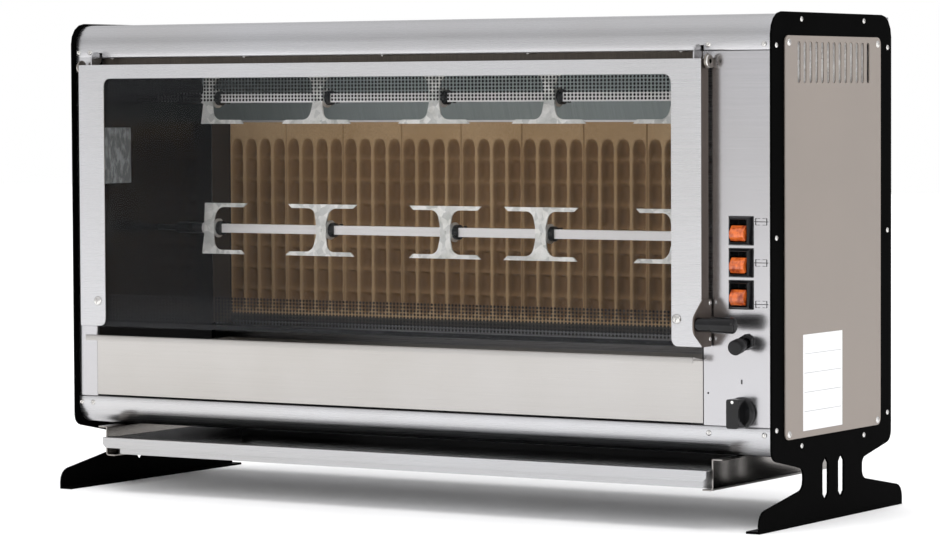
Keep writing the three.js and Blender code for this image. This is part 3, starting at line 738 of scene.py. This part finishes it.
def ventFoil(s):
    low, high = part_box("vent_foil")
    work = bmesh.new()
    rows = []
    for j in range(s["up"] + 1):
        row = []
        for i in range(s["across"] + 1):
            y = low.y + (high.y - low.y) * i / s["across"]
            z = low.z + (high.z - low.z) * j / s["up"]
            facet = noise.cell(Vector((y, z, 3)) * s["scale"]) * s["facets"]
            crease = noise.noise(Vector((y, z, 1)) * s["scale"] * s["creases"])
            sunk = 0.5 - 0.5 * max(-1, min(1, (facet + crease) * s["contrast"]))
            row.append(work.verts.new((high.x - s["depth"] * sunk, y, z)))
        rows.append(row)
    closeBehind(work, rows, 0, low.x)
    mesh = meshFrom(work, "vent_foil_piece", 22)
    newPiece("vent_foil_piece", mesh, foilMetal, "base", ["vent_foil"])


ventFoil(foilSettings)
print("right side done")

# ceramic tiles
tileSettings = {
    "flutes": 4,
    "fluteWidth": 0.0196,
    "depth": 0.009,
    "headLand": 0.0245,  # plain face over the arches
    "footLand": 0.013,
    "archStretch": 0.8,
    "archPoint": 0.35,
    "roundness": 2.6,
    "ridgePitch": 0.0305,
    "ridgeStart": 0.004,
    "ridgeSharp": 0.0022,
    "ridgeSoft": 0.0060,
    "ridgeFill": 0.55,
    "edgeChamfer": 0.0012,
    "across": 64,
    "up": 110,
}
tileLow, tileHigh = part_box("heating_tile_1")
lastHigh = highOf("heating_tile_9")
ceramic = ceramicMaterial("firedCeramic", tileLow.y, tileSettings["depth"])


def tileMesh(s):
    width = tileHigh.x - tileLow.x
    tall = tileHigh.z - tileLow.z
    pitch = width / s["flutes"]
    half = s["fluteWidth"] / 2
    archCentre = tall - s["headLand"] - half
    footCentre = s["footLand"] + half

    def sunk(x, z):
        middle = (math.floor(x / pitch) + 0.5) * pitch
        dx = abs(x - middle) / half
        dz = max(0, (z - archCentre) * s["archStretch"], footCentre - z) / half
        reach = dx + dz * s["archPoint"] if z > archCentre else 0
        reach = max(reach, math.hypot(dx, dz))
        if reach >= 1:
            return 0
        channel = s["depth"] * (1 - reach ** s["roundness"])
        along = (archCentre + half - z + s["ridgeStart"]) % s["ridgePitch"]
        sharp = math.exp(-(along / s["ridgeSharp"]) ** 2)
        soft = math.exp(-((along - s["ridgePitch"]) / s["ridgeSoft"]) ** 2)
        return max(0, channel * (1 - s["ridgeFill"] * min(1, sharp + soft)))

    work = bmesh.new()
    rows = []
    for j in range(s["up"] + 1):
        z = tall * j / s["up"]
        row = []
        for i in range(s["across"] + 1):
            x = width * i / s["across"]
            edge = s["edgeChamfer"] if i in (0, s["across"]) else 0
            depth = max(sunk(min(x, width - 1e-6), z), edge)
            row.append(work.verts.new((tileLow.x + x, tileLow.y + depth, tileLow.z + z)))
        rows.append(row)
    closeBehind(work, rows, 1, tileHigh.y)
    return meshFrom(work, "tile", 50)


def rowTree(material):
    # copies of the incoming mesh in a straight row
    t = NodeTree("tileRow")
    count = t.value("Count", "Int", 9)
    pitch = t.value("Pitch", "Float", 0.0964)
    step = t.add("ShaderNodeCombineXYZ", {"X": pitch})
    row = t.add("GeometryNodeMeshLine", {"Count": count, "Offset": step.outputs[0]})
    tile = t.input.outputs[0]
    placed = t.add("GeometryNodeInstanceOnPoints", {"Points": row.outputs[0], "Instance": tile})
    t.finish(placed.outputs["Instances"], material)
    return t


tileCount = 9
tileNames = ["heating_tile_%d" % i for i in range(1, tileCount + 1)]
rowValues = {"Count": tileCount, "Pitch": (lastHigh.x - tileHigh.x) / (tileCount - 1)}
tile = tileMesh(tileSettings)
applyTree("heating_tiles", rowTree(ceramic), tile, rowValues, ceramic, "base", tileNames)
print("tiles done")

# dark front flange of the hood, in the gap over the door
flangeSettings = {"side": 0.003, "front": 0.0150, "back": 0.0160, "drop": 0.013, "rise": 0.0045}
flangeLeft = highOf("front_stile_left").x + flangeSettings["side"]
flangeRight = lowOf("control_panel").x - flangeSettings["side"]
flangeLow = (flangeLeft, panelY + flangeSettings["front"], frontTop - flangeSettings["drop"])
flangeHigh = (flangeRight, panelY + flangeSettings["back"], frontTop + flangeSettings["rise"])
bars("hood_flange", [(flangeLow, flangeHigh)], heatedSteel, "base")

# bright lip along the foot of the hood
lipSettings = {"front": 0.0022, "back": 0.0007, "low": 0.0002, "high": 0.0030}
lipLow = (tileLow.x, tileLow.y - lipSettings["front"], tileHigh.z + lipSettings["low"])
lipHigh = (lastHigh.x, tileLow.y - lipSettings["back"], tileHigh.z + lipSettings["high"])
bars("hood_lip", [(lipLow, lipHigh)], barSteel, "base")

# spits and forks
spitSettings = {"darkEnd": 0.0915, "bevel": 0.0006}
forkSettings = {
    "nearEnd": 0.009,
    "farEnd": 0.017,
    "shortSide": 0.02,
    "sheet": 0.002,
    "half": 0.0347,
    "prong": 0.0055,
    "tip": 0.006,
    "fillet": 0.0125,
    "waist": 0.0078,
    "waistHalf": 0.008,
    "waistFillet": 0.02,
    "web": 0.0125,
    "lean": {1: 8, 2: 8, 3: 2, 4: 3, 5: 8},  # degrees, by fork number
}
# distance along the axis and radius
hubProfile = [(0.0060, 0.0118), (0.0064, 0.0129), (0.0086, 0.0130), (0.0090, 0.0120)]
rivetProfile = [(0.0, 0.0021), (0.0006, 0.0019), (0.0009, 0.0012)]
collarProfile = [(0.0088, 0.0096), (0.0100, 0.0099), (0.0160, 0.0099), (0.0170, 0.0088)]
wingSettings = {
    "along": 0.0125,
    "shank": (0.008, 0.017),
    "radius": 0.0024,
    "wing": (0.0155, 0.0215),
    "halfThick": 0.0013,
    "halfSpan": 0.0078,
}


def spitPiece(level, s):
    piece = refine("spit_" + level, barSteel, s["bevel"])
    darkEnd = lowOf("spit_" + level).x + s["darkEnd"]
    paintFaces(piece, blackScrew, lambda c, n: c.x < darkEnd)


def forkCentre(number, low, high, s):
    # forks at the ends of a spit have one short side
    if number == 1:
        return low.x + s["nearEnd"]
    if number == 5:
        return high.x - s["farEnd"]
    return (low.x + high.x) / 2


def forkPlate(node, centre, z, s):
    low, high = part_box(node)
    h, p, t, w = s["half"], s["prong"], s["tip"], s["web"]

    def corner(side, up):
        reach = (high.x - centre) if side > 0 else (centre - low.x)
        outer = [(centre + side * reach, z + up * h, 0)]
        if reach < s["shortSide"]:
            return outer
        inner = (centre + side * w, z + up * (h - p), s["fillet"])
        return outer + [(centre + side * (reach - t), z + up * (h - p), 0), inner]

    def waist(side, up):
        return (centre + side * s["waist"], z + up * s["waistHalf"], s["waistFillet"])

    loop = corner(-1, 1) + [waist(-1, 1), waist(-1, -1)] + corner(-1, -1)[::-1]
    loop += corner(1, -1) + [waist(1, -1), waist(1, 1)] + corner(1, 1)[::-1]
    mesh = flatOutline(node + "_piece", [roundedLoop(loop, 9)], "Y", low.y, low.y + s["sheet"])
    bend = math.tan(math.radians(s["lean"][int(node[-1])]))
    for v in mesh.vertices:
        past = v.co.z - z
        v.co.y += math.copysign(max(0, abs(past) - s["waistHalf"]), past) * bend
    piece = newPiece(node + "_piece", mesh, zincSheet, bodyOfNode[node], [node])
    bevelled(piece, 0.0003)


def forkHub(node, centre, front, axisY, z):
    work = bmesh.new()
    lathe(work, hubProfile, (centre, axisY, z), (1, 0, 0), 36)
    lathe(work, rivetProfile, (centre, front, z), (0, -1, 0), 16)
    hub = meshFrom(work, node + "_hub", 40)
    newPiece(node + "_hub", hub, zincSheet, bodyOfNode[node])


def forkCollar(node, centre, axisY, z, s):
    # collar on the bar with the wing screw behind it
    work = bmesh.new()
    lathe(work, collarProfile, (centre, axisY, z), (1, 0, 0), 32)
    middle = centre + s["along"]
    lathe(work, [(out, s["radius"]) for out in s["shank"]], (middle, axisY, z), (0, 1, 0), 16)
    near, far = s["wing"]
    wingLow = (middle - s["halfThick"], axisY + near, z - s["halfSpan"])
    wingHigh = (middle + s["halfThick"], axisY + far, z + s["halfSpan"])
    addBox(work, wingLow, wingHigh)
    collar = meshFrom(work, node + "_collar", 40)
    dark = newPiece(node + "_collar", collar, blackScrew, bodyOfNode[node])
    bevelled(dark, 0.0005)


spitAxisY = (lowOf("spit_lower").y + highOf("spit_lower").y) / 2
for level in ("lower", "upper"):
    spitPiece(level, spitSettings)
    for number in range(1, 6):
        node = "fork_%s_%d" % (level, number)
        low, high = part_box(node)
        z = (low.z + high.z) / 2
        centre = forkCentre(number, low, high, forkSettings)
        forkPlate(node, centre, z, forkSettings)
        forkHub(node, centre, low.y, spitAxisY, z)
        forkCollar(node, centre, spitAxisY, z, wingSettings)
print("spits done")

# door
doorSettings = {
    "stile": 0.042,
    "rail": 0.0185,
    "dotAcross": 0.0052,
    "dotUp": 0.0045,
    "dotRadius": 0.0018,
    "dotsUpper": (-0.0295, 7),  # height from the rail, and rows
    "dotsLower": (0.010, 8),  # height from the door's foot, and rows
    "border": 0.006,
}


def doorSides(c, n):
    return abs(n.x) > facing and min(abs(c.x - doorLeft), abs(c.x - doorRight)) < 0.0002


frameSheet = refine("door_frame", steelAcross)
paintFaces(frameSheet, darkEdge, doorSides)
refine("door_glass", paneGlass, 0.0004)
refine("handle_bracket", darkEdge, 0.0004)


def dotTree(material):
    # rows of small round dots
    t = NodeTree("fritDots")
    across = t.value("Columns", "Int", 100)
    rows = t.value("Rows", "Int", 6)
    width = t.value("Width", "Float", 0.9)
    height = t.value("Height", "Float", 0.03)
    radius = t.value("Dot Radius", "Float", 0.001)
    grid = t.add(
        "GeometryNodeMeshGrid",
        {"Size X": width, "Size Y": height, "Vertices X": across, "Vertices Y": rows},
    )
    quarter = {"Rotation": (math.pi / 2, 0, 0)}
    upright = t.add("GeometryNodeTransform", {"Geometry": grid.outputs["Mesh"]}, quarter)
    dot = t.add("GeometryNodeMeshCylinder", {"Radius": radius}, {"Vertices": 8, "Depth": 0.0001})
    turnedDot = t.add("GeometryNodeTransform", {"Geometry": dot.outputs["Mesh"]}, quarter)
    placed = t.add(
        "GeometryNodeInstanceOnPoints",
        {"Points": upright.outputs["Geometry"], "Instance": turnedDot.outputs["Geometry"]},
    )
    moved = t.add("GeometryNodeTransform", {"Geometry": placed.outputs["Instances"]})
    place = t.value("Place", "Vector", (0, 0, 0))
    t.tree.links.new(place, moved.inputs["Translation"])
    t.finish(moved.outputs["Geometry"], material)
    return t


def glassDots(s):
    glassLow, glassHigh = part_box("door_glass")
    left, right = doorLeft + s["stile"] + 0.002, doorRight - s["stile"] - 0.002
    behind = glassHigh.y + 0.0001
    columns = int((right - left) / s["dotAcross"]) + 1
    starts = {"upper": doorTop - s["rail"] + s["dotsUpper"][0], "lower": doorBottom + s["dotsLower"][0]}
    counts = {"upper": s["dotsUpper"][1], "lower": s["dotsLower"][1]}
    for name, start in starts.items():
        rows = counts[name]
        height = (rows - 1) * s["dotUp"]
        values = {
            "Columns": columns,
            "Rows": rows,
            "Width": right - left,
            "Height": height,
            "Dot Radius": s["dotRadius"],
            "Place": ((left + right) / 2, behind, start + height / 2),
        }
        empty = bpy.data.meshes.new("dots_" + name)
        applyTree("glass_dots_" + name, dotTree(frit), empty, values, frit, "door")
    borderLow = (left - 0.03, behind - 0.00005, glassLow.z + 0.0015)
    borderHigh = (right + 0.03, behind + 0.00005, doorBottom + s["border"])
    bars("glass_border_lower", [(borderLow, borderHigh)], frit, "door")


glassDots(doorSettings)

gripSettings = {
    "radius": 0.0100,
    "neck": 0.0090,
    "neckLength": 0.0195,
    "endRadius": 0.0045,
    "endSteps": 8,
}


def handleGrip(s):
    low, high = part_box("handle_grip")
    length = high.x - low.x
    r, n, step, end = s["radius"], s["neck"], s["neckLength"], s["endRadius"]
    profile = [(0, n - 0.0008), (0.0008, n), (step - 0.0005, n), (step, n + 0.0002)]
    profile += [(step + 0.0006, r - 0.0002), (step + 0.0014, r)]
    for k in range(s["endSteps"] + 1):
        angle = math.pi / 2 * k / s["endSteps"]
        profile.append((length - end + end * math.sin(angle), r - end + end * math.cos(angle)))
    start = (low.x, (low.y + high.y) / 2, (low.z + high.z) / 2)
    name = "handle_grip"
    turned(name + "_piece", profile, start, (1, 0, 0), 48, blackGloss, "door", [name])


handleGrip(gripSettings)
print("door done")


# controls
def amberMaterial():
    material, tree, shader = startMaterial("amberTranslucent", 0.08, 0.0)
    shader.inputs["Transmission Weight"].default_value = 0.35
    shader.inputs["IOR"].default_value = 1.49
    shader.inputs["Coat Weight"].default_value = 0.6
    cloud = noiseOn(tree, 130, (1, 1, 0.6), 2)
    tint = blendColours(tree, cloud.outputs["Fac"], (0.35, 0.05, 0.008), (0.95, 0.2, 0.03), 0.36, 0.6)
    tree.links.new(tint, shader.inputs["Base Color"])
    addBump(tree, shader, cloud.outputs["Fac"], 0.3, 0.001)
    return material


amberClear = amberMaterial()
for number in (1, 2, 3):
    refine("switch_bezel_%d" % number, blackGloss, 0.0012, 3)
    refine("switch_rocker_%d" % number, amberClear, 0.0012, 3)

knobSettings = {
    "radius": 0.0193,
    "bar": 0.0083,
    "barCorner": 0.003,
    "barInset": 0.0013,
    "reach": 0.025,
    "dotRadius": 0.0019,
    "dotInset": 0.0035,
}


def timerKnob(s):
    low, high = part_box("timer_knob")
    centre = Vector(((low.x + high.x) / 2, high.y, (low.z + high.z) / 2))
    r, bar, corner = s["radius"], s["bar"], s["barCorner"]
    profile = [(0, r - 0.0012), (0.0008, r - 0.0002), (0.0018, r), (0.0046, r - 0.0003)]
    profile += [(0.0058, r - 0.0016), (0.0062, r - 0.004)]
    name = "timer_knob"
    turned(name + "_piece", profile, centre, (0, -1, 0), 56, blackGloss, "timer", [name])
    tall = r - s["barInset"]
    corners = [(-bar, -tall, corner), (bar, -tall, corner), (bar, tall, corner), (-bar, tall, corner)]
    loop = [(centre.x + a, centre.z + b) for a, b in roundedLoop(corners)]
    face = centre.y - s["reach"]
    barMesh = flatOutline(name + "_bar", [loop], "Y", face + 0.0008, centre.y - 0.005)
    barPiece = newPiece(name + "_bar", barMesh, blackGloss, "timer")
    bevelled(barPiece, 0.0014, 4)
    dotPlace = (centre.x, face + 0.0009, centre.z + tall - s["dotInset"])
    dotProfile = [(0, s["dotRadius"]), (0.0003, s["dotRadius"])]
    turned(name + "_dot", dotProfile, dotPlace, (0, -1, 0), 20, whiteInk, "timer", (), 34)


timerKnob(knobSettings)

toggleSettings = {"tilt": 10, "head": 0.0093, "neck": 0.0064}


def toggleLever(s):
    bodyLow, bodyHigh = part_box("toggle_body")
    pivot = Vector(((bodyLow.x + bodyHigh.x) / 2, panelY - 0.002, (bodyLow.z + bodyHigh.z) / 2))
    tilt = math.radians(s["tilt"])
    along = (0, -math.cos(tilt), -math.sin(tilt))
    h, n = s["head"], s["neck"]
    profile = [(-0.002, 0.0038), (0.009, 0.0038), (0.0105, n), (0.0125, n + 0.0012), (0.0145, n + 0.0012)]
    profile += [(0.0155, n), (0.0170, n), (0.0178, h - 0.0006), (0.0190, h), (0.0306, h)]
    profile += [(0.0318, h - 0.0006), (0.0324, h - 0.0022)]
    name = "toggle_lever"
    turned(name + "_piece", profile, pivot, along, 44, blackRubber, "toggle", [name])


toggleLever(toggleSettings)
refine("toggle_body", blackRubber, 0.0006)

# small spit signs beside the switches and the tick over the timer
signSettings = {
    "left": 0.5068,
    "right": 0.5262,
    "heights": (0.3757, 0.3258, 0.2754),
    "line": 0.0009,
    "prongHalf": 0.0042,
    "tick": (0.1773, 0.1830),
    "tickHalf": 0.0011,
}


def signs(s):
    boxes = []
    front, back = panelY - 0.00012, panelY - 0.00001
    t = s["line"]
    for z in s["heights"]:
        boxes.append(((s["left"], front, z - t / 2), (s["right"], back, z + t / 2)))
        for x, inward in ((s["left"] + 0.0022, 1), (s["right"] - 0.0022, -1)):
            low, high = z - s["prongHalf"], z + s["prongHalf"]
            boxes.append(((x - t * 0.7, front, low), (x + t * 0.7, back, high)))
            for up in (-1, 1):
                for start, end in ((0, 0.0018), (0.0026, 0.0058)):
                    a, b = sorted((x + inward * start, x + inward * end))
                    boxes.append(((a, front, z + up * 0.004 - t / 3), (b, back, z + up * 0.004 + t / 3)))
    timer = (lowOf("timer_knob").x + highOf("timer_knob").x) / 2
    left, right = timer - s["tickHalf"], timer + s["tickHalf"]
    boxes.append(((left, front, s["tick"][0]), (right, back, s["tick"][1])))
    bars("panel_signs", boxes, ink, "base")


signs(signSettings)
print("controls done")

# blank label on the right cover, ruled in five
labelSettings = {
    "front": 0.071,
    "back": 0.178,
    "low": 0.1165,
    "high": 0.235,
    "rows": 5,
    "thick": 0.00015,
    "inkThick": 0.00005,
    "margin": 0.003,
    "line": 0.0004,
}


def label(s):
    face = lowOf("side_cover_right").x + coverSheet
    stock = face + s["thick"]
    a, b = panelY + s["front"], panelY + s["back"]
    sheet = ((face, a, s["low"]), (stock, b, s["high"]))
    bars("cover_label", [sheet], labelStock, "base")
    pitch = (s["high"] - s["low"]) / s["rows"]
    rules = []
    for i in range(1, s["rows"]):
        z = s["low"] + i * pitch
        low = (stock, a + s["margin"], z - s["line"])
        rules.append((low, (stock + s["inkThick"], b - s["margin"], z + s["line"])))
    bars("cover_label_rules", rules, paleInk, "base")


label(labelSettings)

# round heads of the hinge pins
pinHead = [(0, 0.0079), (0.0012, 0.0079), (0.0020, 0.0074), (0.0025, 0.0062), (0.0026, 0.0030)]
pinThick = 0.0026
pinPlace = (0.0127, 0.0031)  # in front of the panel and under the door's top
work = bmesh.new()
for side, outer in ((-1, lowOf("hinge_bracket_left").x), (1, highOf("hinge_bracket_right").x)):
    start = (outer - side * pinThick, panelY - pinPlace[0], doorTop - pinPlace[1])
    lathe(work, pinHead, start, (side, 0, 0), 40)
newPiece("hinge_heads", meshFrom(work, "hinge_heads", 40), screwSteel, "base")

# screws and rivets: places in millimetres, sizes in metres as head radius, head height and recess width
sideScrews = {
    "edges": (3.7, 310.3),
    "levels": (589.3, 356.1, 122.2),
    "ends": (70.4, 242.4),
    "endLevels": (621.8, 98.5),
    "size": (0.0034, 0.0019, 0.0009),
}
frontScrews = {
    "across": (-527.5, -508.0, 443.8, 520.5),
    "levels": (591.0, 116.0),
    "size": (0.0036, 0.0018, 0.0013),
}
gapScrews = {"across": (-476, -257, -38, 182, 402), "behind": 8, "size": (0.0028, 0.0022, 0.0007)}
glassScrews = {"level": 256.0, "left": 29.5, "right": 34.5, "size": (0.0064, 0.0038, 0.0014)}
bracketRivets = {"levels": (276.0, 232.0), "forward": 7, "size": (0.0030, 0.0016, 0.0002)}
rearScrews = {
    "across": (-505, -252, 0, 252, 505),
    "levels": (109.5, 603.5),
    "size": (0.0034, 0.0019, 0.0009),
}

sideSpots = [(y, z) for y in sideScrews["edges"] for z in sideScrews["levels"]]
sideSpots += [(y, z) for z in sideScrews["endLevels"] for y in sideScrews["ends"]]
for side, name in ((-1, "left"), (1, "right")):
    heads = [(side * plateOut, panelY + y * mm, z * mm, (side, 0, 0)) for y, z in sideSpots]
    screws("side_screws_" + name, heads, sideScrews["size"], "base")
spots = [(x * mm, z * mm) for x in frontScrews["across"] for z in frontScrews["levels"]]
heads = [(x, panelY, z, (0, -1, 0)) for x, z in spots]
screws("front_screws", heads, frontScrews["size"], "base")
gapY = panelY + gapScrews["behind"] * mm
heads = [(x * mm, gapY, frontTop + 0.0001, (0, 0, -1)) for x in gapScrews["across"]]
screws("gap_screws", heads, gapScrews["size"], "base")
spots = (doorLeft + glassScrews["left"] * mm, doorRight - glassScrews["right"] * mm)
heads = [(x, doorFront, glassScrews["level"] * mm, (0, -1, 0)) for x in spots]
screws("glass_screws", heads, glassScrews["size"], "door")
bracketOut = highOf("handle_bracket").x
rivetY = panelY - bracketRivets["forward"] * mm
heads = [(bracketOut, rivetY, z * mm, (1, 0, 0)) for z in bracketRivets["levels"]]
screws("bracket_rivets", heads, bracketRivets["size"], "door")
rearY = highOf("rear_panel").y
spots = [(x * mm, z * mm) for x in rearScrews["across"] for z in rearScrews["levels"]]
heads = [(x, rearY, z, (0, 1, 0)) for x, z in spots]
screws("rear_screws", heads, rearScrews["size"], "base")
print("screws done")


# floor and light
def areaLight(name, s):
    data = bpy.data.lights.new(name, "AREA")
    data.shape = "RECTANGLE"
    data.size, data.size_y = s["size"]
    data.energy = s["power"]
    light = bpy.data.objects.new(name, data)
    place = Vector(s["place"])
    aim = (Vector(s["target"]) - place).to_track_quat("-Z", "Y")
    light.matrix_world = Matrix.Translation(place) @ aim.to_matrix().to_4x4()
    light.visible_glossy = s["mirrored"]
    collection.objects.link(light)


floorHalf = 14
work = bmesh.new()
addBox(work, (-floorHalf, -floorHalf, -0.02), (floorHalf, floorHalf, 0))
floorPiece = bpy.data.objects.new("floor", meshFrom(work, "floor"))
paleFloor = paintedSheet("paleFloor", (0.97, 0.97, 0.97), (0.95, 0.95, 0.95), (0.7, 0.8), 60, 0.02)
floorPiece.data.materials.append(paleFloor)
collection.objects.link(floorPiece)


def studioWorld(s):
    # the room's light changes with height, and the room itself shows as plain white
    world = bpy.data.worlds.new("studio")
    bpy.context.scene.world = world
    world.use_nodes = True
    tree = world.node_tree
    place = nodeOf(tree, "ShaderNodeTexCoord")
    split = nodeOf(tree, "ShaderNodeSeparateXYZ")
    tree.links.new(place.outputs["Generated"], split.inputs["Vector"])
    height = nodeOf(tree, "ShaderNodeMapRange", {"From Min": -0.2, "From Max": 1.0})
    tree.links.new(split.outputs["Z"], height.inputs["Value"])
    bands = nodeOf(tree, "ShaderNodeValToRGB")
    ramp = bands.color_ramp
    while len(ramp.elements) < len(s["bands"]):
        ramp.elements.new(0.5)
    for element, (position, value) in zip(ramp.elements, s["bands"]):
        element.position = position
        element.color = (value * 0.985, value * 0.985, value, 1)
    tree.links.new(height.outputs["Result"], bands.inputs["Fac"])
    room = tree.nodes["Background"]
    room.inputs["Strength"].default_value = s["strength"]
    tree.links.new(bands.outputs["Color"], room.inputs["Color"])
    plain = nodeOf(tree, "ShaderNodeBackground", {"Color": (1, 1, 1, 1), "Strength": 1.0})
    path = nodeOf(tree, "ShaderNodeLightPath")
    pick = nodeOf(tree, "ShaderNodeMixShader")
    tree.links.new(path.outputs["Is Camera Ray"], pick.inputs["Fac"])
    tree.links.new(room.outputs["Background"], pick.inputs[1])
    tree.links.new(plain.outputs["Background"], pick.inputs[2])
    tree.links.new(pick.outputs["Shader"], tree.nodes["World Output"].inputs["Surface"])


worldSettings = {
    "strength": 1.1,
    "bands": ((0.0, 0.75), (0.17, 0.85), (0.32, 0.78), (0.5, 0.6), (0.7, 0.75), (1.0, 0.9)),
}
studioWorld(worldSettings)
bpy.context.scene.view_settings.view_transform = "Standard"
lightSettings = {
    "key": {
        "place": (-2.4, -3.8, 1.9),
        "target": (0, 0, 0.3),
        "size": (4.4, 2.8),
        "power": 72,
        "mirrored": False,
    },
    "fill": {
        "place": (3.8, -1.8, 1.6),
        "target": (0.3, 0, 0.3),
        "size": (2.2, 1.8),
        "power": 28,
        "mirrored": True,
    },
}
for name, settings in lightSettings.items():
    areaLight(name, settings)
sun = bpy.data.objects.new("overhead", bpy.data.lights.new("overhead", "SUN"))
sun.data.energy = 1.8
sun.data.angle = math.radians(60)
sun.visible_glossy = False
collection.objects.link(sun)
print("stage set")
